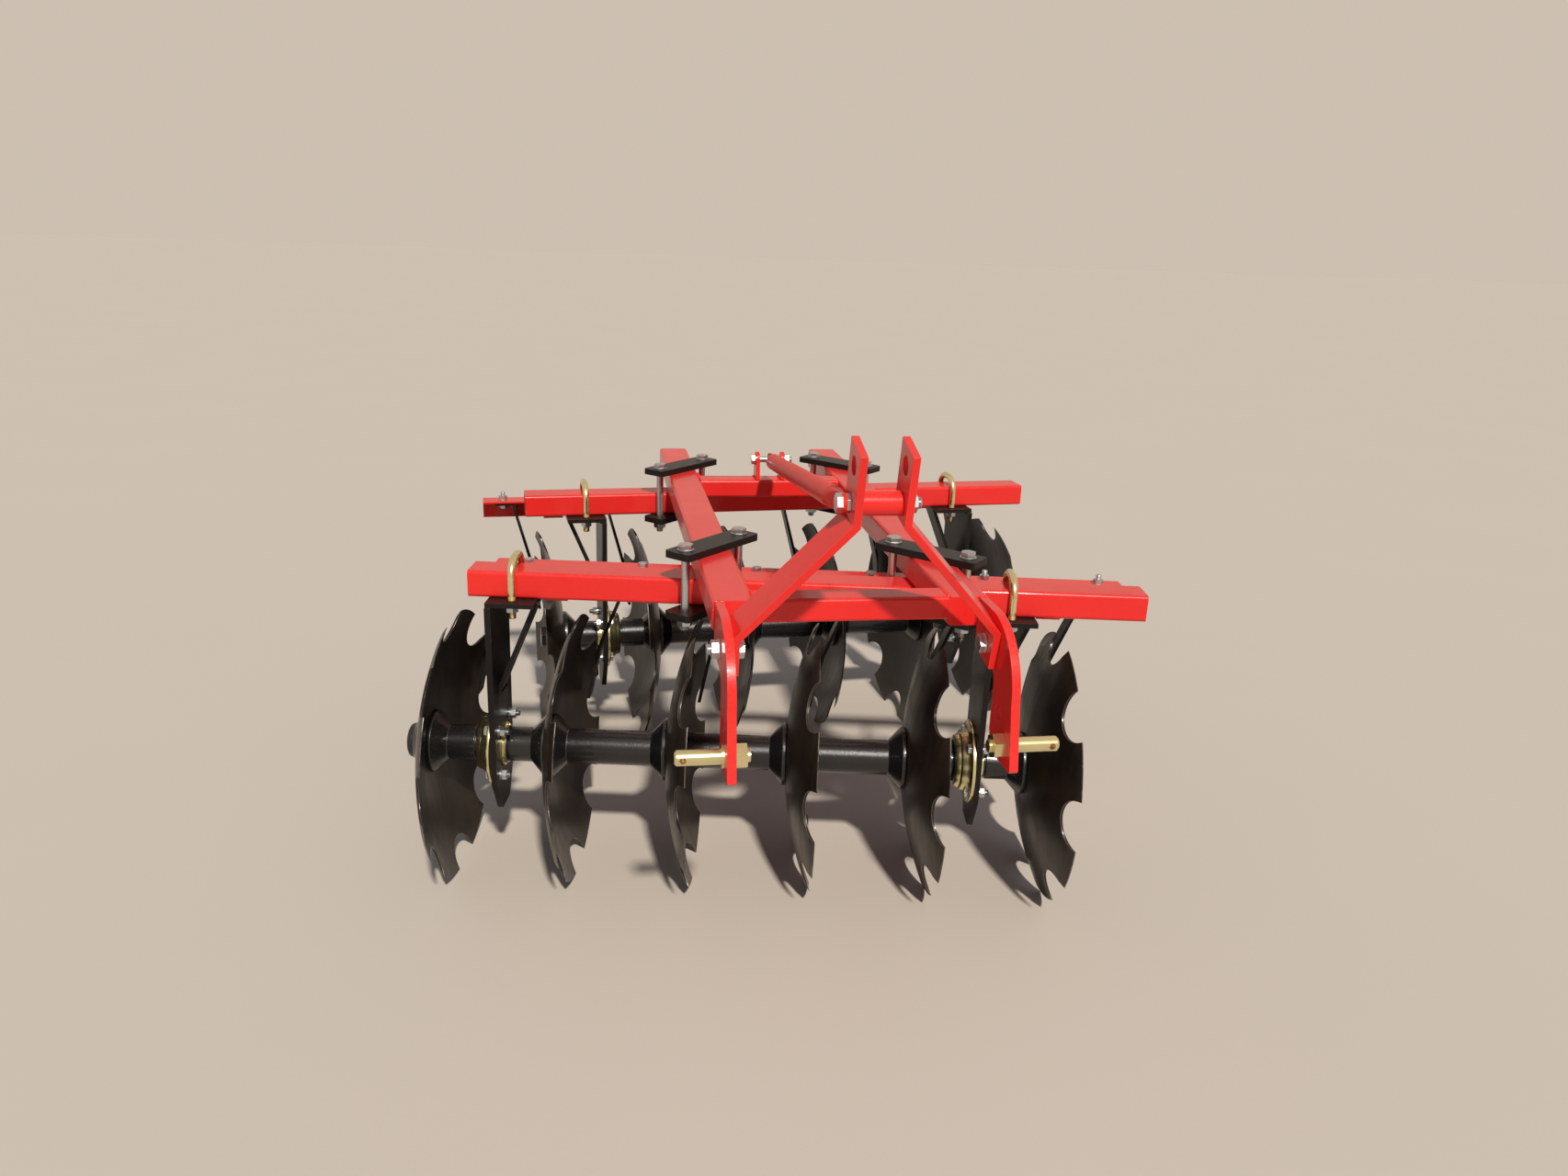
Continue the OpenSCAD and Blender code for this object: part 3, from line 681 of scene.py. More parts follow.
class Shape:
    """A mesh being modelled, in millimetres unless it copies a CAD node, with its rounded edges marked for
    wear and a painted highlight.
    """

    def __init__(self) -> None:
        """Starts empty."""
        self.bm = bmesh.new()
        self.bm.faces.layers.float.new(WEAR_AND_HIGHLIGHT_MARK)

    @classmethod
    def turned(cls, profile: Profile, steps: int = 32, closed: bool = False) -> "Shape":
        """Turns a profile round the Z axis.

        Args:
            profile: Radius and height of each point, in order.
            steps: Steps of the full turn.
            closed: Whether the last point joins the first.

        Returns:
            The turned shape.
        """
        shape = cls()
        points = [shape.bm.verts.new((r, 0.0, z)) for r, z in profile]
        pairs = list(zip(points, points[1:])) + ([(points[-1], points[0])] if closed else [])
        edges = [shape.bm.edges.new(pair) for pair in pairs]
        bmesh.ops.spin(
            shape.bm, geom=points + edges, cent=(0, 0, 0), axis=(0, 0, 1), dvec=(0, 0, 0), angle=math.tau,
            steps=steps, use_merge=True, use_duplicate=False,
        )
        bmesh.ops.remove_doubles(shape.bm, verts=shape.bm.verts[:], dist=1e-4)
        bmesh.ops.recalc_face_normals(shape.bm, faces=shape.bm.faces[:])
        return shape

    @classmethod
    def hexagon(cls, flats: float, height: float, z: float = 0.0) -> "Shape":
        """A hexagon head or nut with its upper corners cut back.

        Args:
            flats: Distance across the flats.
            height: Height of the hexagon.
            z: Its lower face.

        Returns:
            The hexagon.
        """
        shape = cls()
        radius, cut, edge = flats / math.sqrt(3), flats * 0.10, flats * 0.025
        bmesh.ops.create_cone(
            shape.bm, cap_ends=True, cap_tris=False, segments=6, radius1=radius, radius2=radius,
            depth=height, matrix=moved(0, 0, z + height / 2),
        )
        top = [v for v in shape.bm.verts if v.co.z > z + height / 2]
        bmesh.ops.bevel(
            shape.bm, geom=top, offset=cut, offset_type="OFFSET", segments=3, profile=0.5,
            affect="VERTICES", clamp_overlap=True, material=-1,
        )
        return shape.soften(edge)

    @classmethod
    def of_node(cls, node: str) -> "Shape":
        """A merged copy of a CAD node's mesh, in metres.

        Args:
            node: The CAD node's name.

        Returns:
            The copy, with its flat faces made whole.
        """
        shape = cls()
        shape.bm.from_mesh(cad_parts[node].data)
        if shape.bm.faces.layers.float.get(WEAR_AND_HIGHLIGHT_MARK) is None:
            shape.bm.faces.layers.float.new(WEAR_AND_HIGHLIGHT_MARK)
        bmesh.ops.remove_doubles(shape.bm, verts=shape.bm.verts[:], dist=2e-6)
        bmesh.ops.dissolve_limit(
            shape.bm, angle_limit=0.003, use_dissolve_boundaries=False,
            verts=shape.bm.verts[:], edges=shape.bm.edges[:],
        )
        return shape

    def soften(self, width: float, segments: int = 2, sharp: float = 32.0) -> "Shape":
        """Rounds the sharp edges and marks them for wear and a painted highlight.

        Args:
            width: Width of the rounding.
            segments: Steps of the rounding.
            sharp: Angle in degrees from which an edge is rounded.

        Returns:
            The same shape.
        """
        limit = math.radians(sharp)
        edges = [e for e in self.bm.edges if e.is_manifold and e.calc_face_angle(0.0) > limit]
        made = bmesh.ops.bevel(
            self.bm, geom=edges, offset=width, offset_type="OFFSET", segments=segments, profile=0.5,
            affect="EDGES", clamp_overlap=True, material=-1,
        )
        layer = self.bm.faces.layers.float[WEAR_AND_HIGHLIGHT_MARK]
        for face in made["faces"]:
            face[layer] = 1.0
        return self

    def move(self, place: Matrix) -> None:
        """Moves every point."""
        bmesh.ops.transform(self.bm, matrix=place, verts=self.bm.verts[:])

    def add(self, other: "Shape", place: Matrix | None = None) -> None:
        """Joins a copy of another shape to this one.

        Args:
            other: The shape to copy.
            place: Where it goes.
        """
        spare = bpy.data.meshes.new("spare")
        other.bm.to_mesh(spare)
        if place is not None:
            spare.transform(place)
        self.bm.from_mesh(spare)
        bpy.data.meshes.remove(spare)

    def bead(self, start: Point, end: Point, radius: float) -> None:
        """Adds a rippled weld bead along a straight joint.

        Args:
            start: Where the bead starts.
            end: Where it ends.
            radius: The bead's radius.
        """
        a, b = Vector(start), Vector(end)
        length = (b - a).length
        ripple = 2.4
        count = max(4, round(length / ripple))
        profile: Profile = [(0.0, 0.0), (radius * 0.7, 0.3)]
        for i in range(count):
            z = (i + 0.5) * length / count
            swell = 1.0 + 0.09 * math.sin(i * 2.4) + 0.06 * math.sin(i * 5.1 + 1.0)
            profile += [(radius * swell, z), (radius * swell * 0.84, z + 0.42 * length / count)]
        profile += [(radius * 0.6, length - 0.2), (0.0, length)]
        bead = Shape.turned(profile, 10)
        turn = Vector((0, 0, 1)).rotation_difference(b - a).to_matrix().to_4x4()
        bead.move(Matrix.Translation(a) @ turn)
        self.add(bead)

    def piece(
        self, name: str, body: str, finish: Finish, place: Matrix | None = None, sharp: float = 40.0
    ) -> Piece:
        """Turns the shape into a finished piece of the object.

        Args:
            name: The piece's name.
            body: The CAD body that it rides on.
            finish: Its finish.
            place: Where it goes in the shared frame.
            sharp: Angle in degrees from which an edge shows as a crease.

        Returns:
            The piece.
        """
        if place is not None:
            self.move(place)
            if place.determinant() < 0:
                bmesh.ops.reverse_faces(self.bm, faces=self.bm.faces[:])
        limit = math.radians(sharp)
        for face in self.bm.faces:
            face.smooth = True
        for edge in self.bm.edges:
            edge.smooth = edge.calc_face_angle(0.0) < limit
        mesh = bpy.data.meshes.new(name)
        self.bm.to_mesh(mesh)
        self.bm.free()
        mesh.materials.append(finish.material())
        piece = bpy.data.objects.new(name, mesh)
        bpy.context.scene.collection.objects.link(piece)
        weigh = piece.modifiers.new("even_shading", "WEIGHTED_NORMAL")
        weigh.keep_sharp = True
        weigh.mode = "FACE_AREA"
        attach(piece, body)
        LOG.info("%s: %d faces on %s", name, len(mesh.polygons), body)
        return piece


def rounded_node(
    node: str, finish: Finish, width: float = 0.9, body: str = "frame", segments: int = 2
) -> Piece:
    """Stands a copy of a CAD node with rounded edges in its place.

    Args:
        node: The CAD node's name.
        finish: Its finish.
        width: Width of the rounding in millimetres.
        body: The CAD body that it rides on.
        segments: Steps of the rounding.

    Returns:
        The new piece.
    """
    piece = Shape.of_node(node).soften(width * MM, segments).piece(node + "_skin", body, finish)
    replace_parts(piece, node)
    return piece


# Fasteners


class Thread(Enum):
    """Threads in use, each with its radius, its nut's width across the flats and its pitch."""

    M10 = (5.0, 16.0, 1.5)
    M12 = (6.0, 19.0, 1.75)
    M14 = (7.0, 22.0, 2.0)
    M16 = (8.0, 24.0, 2.0)
    UBOLT = (6.5, 19.0, 1.75)

    def __init__(self, radius: float, flats: float, pitch: float) -> None:
        """Names the three sizes."""
        self.radius, self.flats, self.pitch = radius, flats, pitch

    def zigzag(self, low: float, high: float) -> Profile:
        """Section of the thread between two heights.

        Args:
            low: Where it starts.
            high: Where it ends.

        Returns:
            A point at the root and one at the crest of each turn.
        """
        root, crest = self.radius * 0.87, self.radius
        count = max(2, round((high - low) / self.pitch))
        step = (high - low) / count
        points: Profile = []
        for i in range(count):
            points += [(root, low + i * step), (crest, low + (i + 0.5) * step)]
        return points

    def washer(self, outer: float, height: float) -> Shape:
        """One washer, standing on z = 0.

        Args:
            outer: Its outer radius.
            height: Its thickness.

        Returns:
            The washer.
        """
        inner = self.radius * 0.96
        edge = min(0.4, height * 0.3)
        outside = [(outer - edge, 0.0), (outer, edge), (outer, height - edge), (outer - edge, height)]
        return Shape.turned([(inner, 0.0), *outside, (inner, height)], 28, closed=True)


@dataclass
class Bolt:
    """A hexagon bolt along +Z whose grip starts at z = 0, with washers and a nut.

    The reaches are the radii of its washers, its spring ring and the round face on its head, as
    shares of the width across the flats.
    """

    thread: Thread
    grip: float
    tail: float
    head: float
    nut: float
    washer: float = 0.0
    spring: float = 0.0
    washer_reach: float = 0.62
    spring_reach: float = 0.50
    face_reach: float = 0.46
    face_h: float = 0.5

    def shape(self) -> Shape:
        """Builds the whole bolt.

        Returns:
            The bolt, its head below the grip and its nut above.
        """
        radius, flats = self.thread.radius, self.thread.flats
        seat = self.grip + self.washer + self.spring
        end = seat + self.nut + self.tail
        shank: Profile = [(0.0, -0.5), (radius, -0.5), (radius, self.grip + self.washer)]
        shank += self.thread.zigzag(seat, end - 0.8)
        shank += [(radius * 0.86, end - 0.4), (radius * 0.66, end), (0.0, end)]
        whole = Shape.turned(shank, 20)
        hexagon = Shape.hexagon(flats, self.head)
        whole.add(hexagon, moved(0, 0, -self.washer) @ spun(HALF, "X"))
        face, top = flats * self.face_reach, self.face_h
        cap = Shape.turned([(0.0, 0.0), (face, 0.0), (face * 0.94, top), (0.0, top)], 24)
        whole.add(cap, moved(0, 0, -self.washer - self.head + 0.1) @ spun(HALF, "X"))
        if self.washer:
            ring = self.thread.washer(flats * self.washer_reach, self.washer)
            whole.add(ring, moved(0, 0, -self.washer))
            whole.add(ring, moved(0, 0, self.grip))
        if self.spring:
            ring = self.thread.washer(flats * self.spring_reach, self.spring)
            whole.add(ring, moved(0, 0, self.grip + self.washer))
        whole.add(Shape.hexagon(flats, self.nut), moved(0, 0, seat))
        return whole


# Sub-assemblies


@dataclass
class TubeFrame:
    """Rails, cross tubes and gang beams, with their weld beads."""

    tubes: tuple[str, ...] = (
        "rail_left", "rail_right", "front_cross_tube", "rear_cross_tube", "front_beam", "rear_beam",
    )
    bead: float = 3.0
    cross_w: float = 50.0
    cross_h: float = 36.0
    corner: float = 4.0
    proud: float = 0.6

    def build(self) -> list[Piece]:
        """Builds the tubes and their welds.

        Returns:
            The pieces.
        """
        made = [rounded_node(node, RED, 0.8) for node in self.tubes]
        made.append(self.welds())
        return made

    def welds(self) -> Piece:
        """Beads round the ends of the cross tubes.

        Returns:
            The piece.
        """
        seams = Shape()
        bottom, top = PLAN.top_z - self.cross_h + self.corner, PLAN.top_z - 5
        crest = PLAN.top_z - 1.2
        for low in (PLAN.rail_y0, PLAN.rear_cross_y):
            high = low + self.cross_w
            # The front tube is flush with the rails' ends, so it has no bead in front.
            walls = (high + self.proud, low - self.proud) if low > 0 else (high + self.proud,)
            for side in SIDES:
                x = side * (PLAN.rail_x - PLAN.tube_w / 2)
                seams.bead((x, low + self.corner, crest), (x, high - self.corner, crest), self.bead)
                for y in walls:
                    seams.bead((x, y, bottom), (x, y, top), self.bead)
        return seams.piece("cross_tube_welds", "frame", RED, PLAN.on_frame())


@dataclass
class Hitch:
    """Link plates with their pins, the leaning mast and its bolts."""

    spacer_v: float = 221.0
    stay_flat: float = 5.0
    stay_gap: float = 6.0
    proud: float = 0.8
    side_bead: float = 3.0
    top_bead: float = 2.6

    def build(self) -> list[Piece]:
        """Builds the hitch.

        Returns:
            The pieces.
        """
        bars = ("link_plate_left", "link_plate_right", "mast_left", "mast_right")
        made = [rounded_node(n, RED, 1.3, segments=3) for n in bars]
        made.append(rounded_node("mast_spacer", RED, 0.6))
        made += [rounded_node(n, GOLD, 0.7) for n in ("link_pin_left", "link_pin_right")]
        made += [self.mast_bolt(), self.foot_bolts(), self.welds()]
        return made

    def mast_bolt(self) -> Piece:
        """The bolt through the ears, the spacer and the stay's front end.

        Returns:
            The piece.
        """
        half = PLAN.ear_gap / 2 + PLAN.mast_t
        left = half + self.stay_gap + self.stay_flat
        bolt = Bolt(Thread.M16, left + half, tail=7.0, head=8.5, nut=10.0).shape()
        nut = Shape.hexagon(Thread.M16.flats, self.stay_gap - 0.2, self.stay_flat + 0.1)
        bolt.add(nut, spun(0.35, "Z"))
        place = PLAN.on_mast() @ moved(-left, 0, self.spacer_v) @ spun(QUARTER, "Y")
        piece = bolt.piece("mast_bolt_detailed", "frame", ZINC, place)
        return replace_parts(piece, "mast_bolt")

    def foot_bolts(self) -> Piece:
        """The two bolts at the mast's feet, heads inside.

        Returns:
            The piece.
        """
        grip = PLAN.mast_t + PLAN.plate_t
        both = Shape()
        one = Bolt(Thread.M16, grip, tail=7.0, head=8.0, nut=10.0, washer=2.0).shape()
        for side in SIDES:
            at = moved(side * (PLAN.plate_x - PLAN.mast_t), PLAN.foot_y, PLAN.foot_z)
            both.add(one, at @ spun(side * QUARTER, "Y"))
        piece = both.piece("foot_bolts_detailed", "frame", ZINC, PLAN.on_frame())
        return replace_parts(piece, "foot_bolts")

    def welds(self) -> Piece:
        """Beads between the link plates and the rails.

        Returns:
            The piece.
        """
        seams = Shape()
        y = PLAN.rail_y0 - 0.5
        low, high, top = PLAN.rail_z + 3, PLAN.top_z - 3, PLAN.top_z - 1.0
        far = PLAN.plate_x + PLAN.plate_t
        for side in SIDES:
            for x in (side * (PLAN.plate_x - self.proud), side * (far + self.proud)):
                seams.bead((x, y, low), (x, y, high), self.side_bead)
            seams.bead((side * PLAN.plate_x, y, top), (side * far, y, top), self.top_bead)
        return seams.piece("link_plate_welds", "frame", RED, PLAN.on_frame())


@dataclass
class TopStay:
    """The stay from the mast to its bracket on the rear cross tube."""

    bracket_in: float = 22.0
    bracket_t: float = 8.0
    lift: float = 40.0
    hole_in: float = 4.0
    ahead: float = 5.0
    behind: float = 19.0
    bead: float = 2.6

    def build(self) -> list[Piece]:
        """Builds the stay, its bracket, its bolt and the bracket's welds.

        Returns:
            The pieces.
        """
        return [
            rounded_node("top_stay", STAY_RED_SHADED, 0.8),
            rounded_node("stay_bracket", RED, 1.0),
            self.bolt(),
            self.welds(),
        ]

    @property
    def hole_y(self) -> float:
        """The bolt's place along the rails."""
        return PLAN.rear_cross_y - self.hole_in

    def bolt(self) -> Piece:
        """The bolt across the bracket and the stay's rear end.

        Returns:
            The piece.
        """
        width = 2 * (self.bracket_in + self.bracket_t)
        bolt = Bolt(Thread.M12, width, tail=6.0, head=6.5, nut=8.5, washer=1.8).shape()
        at = moved(-width / 2, self.hole_y, PLAN.top_z + self.lift)
        place = PLAN.on_frame() @ at @ spun(QUARTER, "Y")
        piece = bolt.piece("stay_bolt_detailed", "frame", ZINC, place)
        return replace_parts(piece, "stay_bolt")

    def welds(self) -> Piece:
        """Beads along both faces of the bracket's two cheeks.

        Returns:
            The piece.
        """
        seams = Shape()
        front, back, low = self.hole_y - self.ahead, self.hole_y + self.behind, PLAN.top_z + 0.4
        for x in (self.bracket_in, self.bracket_in + self.bracket_t):
            for side in SIDES:
                seams.bead((side * x, front, low), (side * x, back, low), self.bead)
        return seams.piece("stay_bracket_welds", "frame", RED, PLAN.on_frame())


@dataclass
class RailClamps:
    """Plates and bolts that clamp the beams under the rails."""

    plate_t: float = 12.0
    offset: float = 49.0
    plates: tuple[str, ...] = (
        "clamp_front_left", "clamp_front_right", "clamp_rear_left", "clamp_rear_right",
    )

    def build(self) -> list[Piece]:
        """Builds the plates and the bolts of both crossings.

        Returns:
            The pieces.
        """
        made = [rounded_node(n, BRACKET_BLACK, 1.2) for n in self.plates]
        front = -PLAN.rail_x * math.tan(math.radians(PLAN.front_angle))
        rear = PLAN.rail_x * math.tan(math.radians(PLAN.rear_angle))
        made.append(self.bolts("clamp_bolts_front", front, 0.0))
        made.append(self.bolts("clamp_bolts_rear", rear, PLAN.gang_gap))
        return made

    def bolts(self, node: str, slope: float, y: float) -> Piece:
        """The four bolts of the crossings over one beam.

        Args:
            node: The CAD node that they stand for.
            slope: How far forward or back the right crossing is.
            y: The beam's place on the centre line.

        Returns:
            The bolts, as one piece.
        """
        grip = 2 * PLAN.tube_h + 2 * self.plate_t
        bolt = Bolt(Thread.M14, grip, tail=9.0, head=8.0, nut=11.0, washer=1.8).shape()
        group = Shape()
        for side in SIDES:
            for way in SIDES:
                x = side * PLAN.rail_x + way * self.offset
                depth = y + side * slope - side * way * self.offset
                at = moved(x, depth, PLAN.top_z + self.plate_t)
                turn = spun(HALF, "X") @ spun(0.4 * side * way, "Z")
                group.add(bolt, at @ turn)
        piece = group.piece(node + "_detailed", "frame", ZINC, PLAN.on_frame())
        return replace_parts(piece, node)


@dataclass
class BearingStation:
    """A hanger with its U-bolt, bearing, seals and bolts, at one place on a gang."""

    name: str
    gang: Matrix
    rim: float
    leg_off: float = 76.0
    leg_t: float = 10.0
    saddle_off: float = 111.0
    saddle_t: float = 8.0
    ubolt_half: float = 38.0
    crown: float = 30.0
    washer_t: float = 1.8
    nut_h: float = 10.0
    washer_r: float = 12.5
    rod_tail: float = 24.0
    threaded: float = 16.0
    flange_t: float = 5.0
    bolt_off: float = 40.0
    saddle_half: float = 58.0
    brace_half: float = 23.0
    brace_off: float = 32.0
    brace_foot: float = 103.0

    def build(self) -> list[Piece]:
        """Builds every piece of the station.

        Returns:
            The pieces.
        """
        return [
            rounded_node("hanger_" + self.name, BRACKET_BLACK, 1.0),
            self.ubolt(),
            self.ubolt_nuts(),
            self.housing(),
            self.seals(),
            self.bolts(),
            self.welds(),
        ]

    @property
    def face(self) -> Matrix:
        """The leg's outer face to the shared frame, +Z along the axle."""
        at = moved(self.rim + self.leg_off - self.leg_t / 2, 0, 0)
        return self.gang @ at @ spun(QUARTER, "Y")

    def housing(self) -> Piece:
        """Pressed flange, dished housing and locking collar.

        Returns:
            The piece.
        """
        t = self.leg_t
        dome: Profile = [
            (25.4, -31.0), (38.0, -31.0), (43.5, -30.2), (45.2, -28.0), (46.5, -22.0), (48.5, -20.4),
            (50.0, -18.8), (51.2, -12.0), (53.4, -7.2),
        ]
        flange: Profile = [
            (57.0, -5.6), (66.0, -5.4), (69.6, -6.6), (71.4, -5.6), (72.0, -3.2), (71.6, -0.8), (70.4, 0.0),
        ]
        neck: Profile = [(37.5, 0.0), (37.5, t + 3.4), (36.9, t + 4.0), (33.0, t + 4.0)]
        collar: Profile = [(33.0, t + 5.0), (33.0, t + 8.2), (32.2, t + 9.0), (25.4, t + 9.0)]
        shape = Shape.turned([*dome, *flange, *neck, *collar], 72, closed=True)
        tip: Profile = [(0.0, 0.0), (1.6, 0.0), (1.6, 1.2), (3.2, 1.2), (3.2, 3.2), (2.6, 3.6), (0.0, 3.6)]
        screw = Shape.turned(tip, 16)
        for angle in (0.6, 0.6 + math.radians(120)):
            at = spun(angle, "Z") @ moved(31.4, 0, t + 6.4)
            shape.add(screw, at @ spun(QUARTER, "Y"))
        nipple: Profile = [
            (0.0, 0.0), (3.6, 0.0), (3.6, 2.4), (2.2, 3.0), (2.2, 6.4), (3.0, 7.4), (3.0, 8.8), (1.8, 10.4),
            (0.0, 10.6),
        ]
        at = spun(math.radians(150), "Z") @ moved(44.0, 0, -22.0)
        at = at @ spun(math.radians(60), "Y")
        shape.add(Shape.turned(nipple, 14), at)
        piece = shape.piece("bearing_" + self.name + "_detailed", "frame", GOLD, self.face, sharp=34.0)
        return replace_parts(piece, "bearing_" + self.name)

    def seals(self) -> Piece:
        """Rubber lips in the housing's two mouths.

        Returns:
            The piece.
        """
        front: Profile = [(25.2, -31.6), (30.0, -31.9), (36.0, -31.3), (36.4, -30.4), (25.2, -30.4)]
        z = self.leg_t + 9.0
        back: Profile = [
            (25.2, z - 0.4), (31.0, z - 0.4), (30.6, z + 0.7), (27.0, z + 1.0), (25.2, z + 0.7),
        ]
        shape = Shape.turned(front, 48, closed=True)
        shape.add(Shape.turned(back, 48, closed=True))
        return shape.piece("bearing_seals_" + self.name, "frame", RUBBER, self.face)

    def bolts(self) -> Piece:
        """Four bolts through the flange and the leg, heads on the flange.

        Returns:
            The piece.
        """
        group = Shape()
        grip = self.leg_t + self.flange_t
        bolt = Bolt(Thread.M10, grip, tail=7.0, head=6.4, nut=8.0, washer=1.6, spring=2.4).shape()
        turn, twist = 0.0, 0.37
        for y in SIDES:
            for x in SIDES:
                turn += twist
                at = moved(x * self.bolt_off, y * self.bolt_off, -self.flange_t)
                group.add(bolt, at @ spun(turn, "Z"))
        return group.piece("bearing_bolts_" + self.name, "frame", ZINC, self.face)

    @property
    def seat(self) -> Matrix:
        """The gang's line under the beam, at the U-bolt, to the shared frame."""
        return self.gang @ moved(self.rim + self.saddle_off, 0, 0)

    def ubolt(self) -> Piece:
        """The bent rod over the beam, with its threaded ends.

        Returns:
            The piece.
        """
        rod, half = Thread.UBOLT.radius, self.ubolt_half
        base = PLAN.beam_over_axle - self.saddle_t
        bend = PLAN.beam_over_axle + PLAN.tube_h - 10.5
        flat = half - self.crown
        shape = Shape()
        start = moved(0, half, bend)
        bmesh.ops.create_circle(shape.bm, cap_ends=False, segments=20, radius=rod, matrix=start)
        sweep = {"axis": (1, 0, 0), "dvec": (0, 0, 0), "cent": (0, flat, bend), "steps": 12}
        whole = shape.bm.verts[:] + shape.bm.edges[:]
        last = bmesh.ops.spin(shape.bm, geom=whole, angle=QUARTER, **sweep)["geom_last"]
        edges = [e for e in last if isinstance(e, bmesh.types.BMEdge)]
        moved_on = bmesh.ops.extrude_edge_only(shape.bm, edges=edges)["geom"]
        points = [v for v in moved_on if isinstance(v, bmesh.types.BMVert)]
        bmesh.ops.translate(shape.bm, vec=(0, -2 * flat, 0), verts=points)
        sweep["cent"] = (0, -flat, bend)
        ring = [g for g in moved_on if not isinstance(g, bmesh.types.BMFace)]
        bmesh.ops.spin(shape.bm, geom=ring, angle=QUARTER, **sweep)
        bmesh.ops.recalc_face_normals(shape.bm, faces=shape.bm.faces[:])
        low = base - self.rod_tail
        leg: Profile = [(0.0, low), (rod * 0.7, low), (rod * 0.88, low + 0.6)]
        leg += Thread.UBOLT.zigzag(low + 1.0, base + self.threaded)
        leg += [(rod, base + self.threaded + 1.0), (rod, bend + 0.05)]
        for side in SIDES:
            shape.add(Shape.turned(leg, 20), moved(0, side * half, 0))
        piece = shape.piece("ubolt_" + self.name + "_detailed", "frame", GOLD, self.seat)
        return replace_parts(piece, "ubolt_" + self.name)

    def ubolt_nuts(self) -> Piece:
        """Nuts and washers under the hanger's top plate.

        Returns:
            The piece.
        """
        shape = Shape()
        washer = Thread.UBOLT.washer(self.washer_r, self.washer_t)
        nut = Shape.hexagon(Thread.UBOLT.flats, self.nut_h)
        low = PLAN.beam_over_axle - self.saddle_t - self.washer_t
        for side in SIDES:
            at = moved(0, side * self.ubolt_half, low)
            shape.add(washer, at)
            turn = spun(HALF, "X") @ spun(0.3 * side, "Z")
            shape.add(nut, at @ turn)
        return shape.piece("ubolt_nuts_" + self.name, "frame", ZINC, self.seat)

    def welds(self) -> Piece:
        """Beads between the hanger's leg, brace and top plate.

        Returns:
            The piece.
        """
        seams = Shape()
        top = PLAN.beam_over_axle - self.saddle_t - 0.6
        x0 = self.rim + self.leg_off - self.leg_t / 2
        inner = x0 + self.leg_t + 0.6
        outer = self.rim + self.saddle_off + self.brace_off - 1.0
        beads = (
            (inner, self.saddle_half, top, 3.0),
            (inner + 0.4, self.brace_half, self.brace_foot, 3.2),
            (outer, self.brace_half, top, 2.8),
        )
        for x, half, z, radius in beads:
            seams.bead((x, -half, z), (x, half, z), radius)
        return seams.piece("hanger_welds_" + self.name, "frame", BRACKET_BLACK, self.gang)


@dataclass
class Gang:
    """One gang: axle, spools and six notched blades that turn together."""

    name: str
    body: str
    matrix: Matrix
    blades: Finish
    count: int = 6
    nut_h: float = 14.0
    boss_r: float = 29.0
    boss_h: float = 10.0
    boss_wall: float = 2.4

    def build(self) -> list[Piece]:
        """Builds the turning pieces.

        Returns:
            The pieces.
        """
        names = [f"disc_{self.name}_{i + 1}" for i in range(self.count)]
        made = [rounded_node(n, self.blades, 0.7, self.body) for n in names]
        made.append(rounded_node("spools_" + self.name, BLACK, 0.9, self.body))
        made.append(self.axle())
        return made

    def axle(self) -> Piece:
        """The square axle with its nut, and a low forged boss over its other end.

        Returns:
            The piece.
        """
        node = "axle_" + self.name
        shape = Shape.of_node(node)
        shape.move(self.matrix.inverted())
        seat = min(v.co.x for v in shape.bm.verts) + self.nut_h
        for v in shape.bm.verts:
            v.co.x = max(v.co.x, seat - 0.4)
        shape.soften(0.8)
        steps, rise = 8, self.boss_h - self.boss_wall
        profile: Profile = [(0.0, -0.5), (self.boss_r, -0.5), (self.boss_r, self.boss_wall)]
        for i in range(1, steps):
            t = i * QUARTER / steps
            profile.append((self.boss_r * math.cos(t), self.boss_wall + rise * math.sin(t)))
        profile.append((0.0, self.boss_h))
        turn = moved(seat, 0, 0) @ spun(-QUARTER, "Y")
        shape.add(Shape.turned(profile, 48), turn)
        piece = shape.piece(node + "_skin", self.body, BLACK, self.matrix)
        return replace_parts(piece, node)


@dataclass
class ScraperRow:
    """One scraper bar with its straps, arms and bolts."""

    name: str
    matrix: Matrix
    side: int
    arm_off: float
    flange_z: float
    angle_t: float = 4.0
    arm_t: float = 6.0
    bolt_in: float = 2.0
    heads_up: int = 0

    def build(self) -> list[Piece]:
        """Builds the row.

        Returns:
            The pieces.
        """
        return [
            rounded_node("scraper_bar_" + self.name, RED, 0.6),
            rounded_node("scraper_straps_" + self.name, RED, 0.7),
            rounded_node("scrapers_" + self.name, BRACKET_BLACK, 0.8),
            self.bolts(),
        ]

    def bolts(self) -> Piece:
        """One bolt through each arm and the bar's flange, the first few with their heads up.

        Returns:
            The piece.
        """
        grip = self.arm_t + self.angle_t
        bolt = Bolt(Thread.M10, grip, tail=9.0, head=6.4, nut=8.0, washer=1.5).shape()
        group = Shape()
        for i, rim in enumerate(PLAN.rims):
            x = self.side * (rim + self.arm_off - self.bolt_in)
            at = moved(x, PLAN.scraper_y - self.bolt_in, self.flange_z - self.arm_t)
            turn = spun(0.5 * i, "Z")
            if i < self.heads_up:
                turn = moved(0, 0, grip) @ spun(HALF, "X") @ turn
            group.add(bolt, at @ turn)
        return group.piece("scraper_bolts_" + self.name, "frame", ZINC, self.matrix)


# Studio


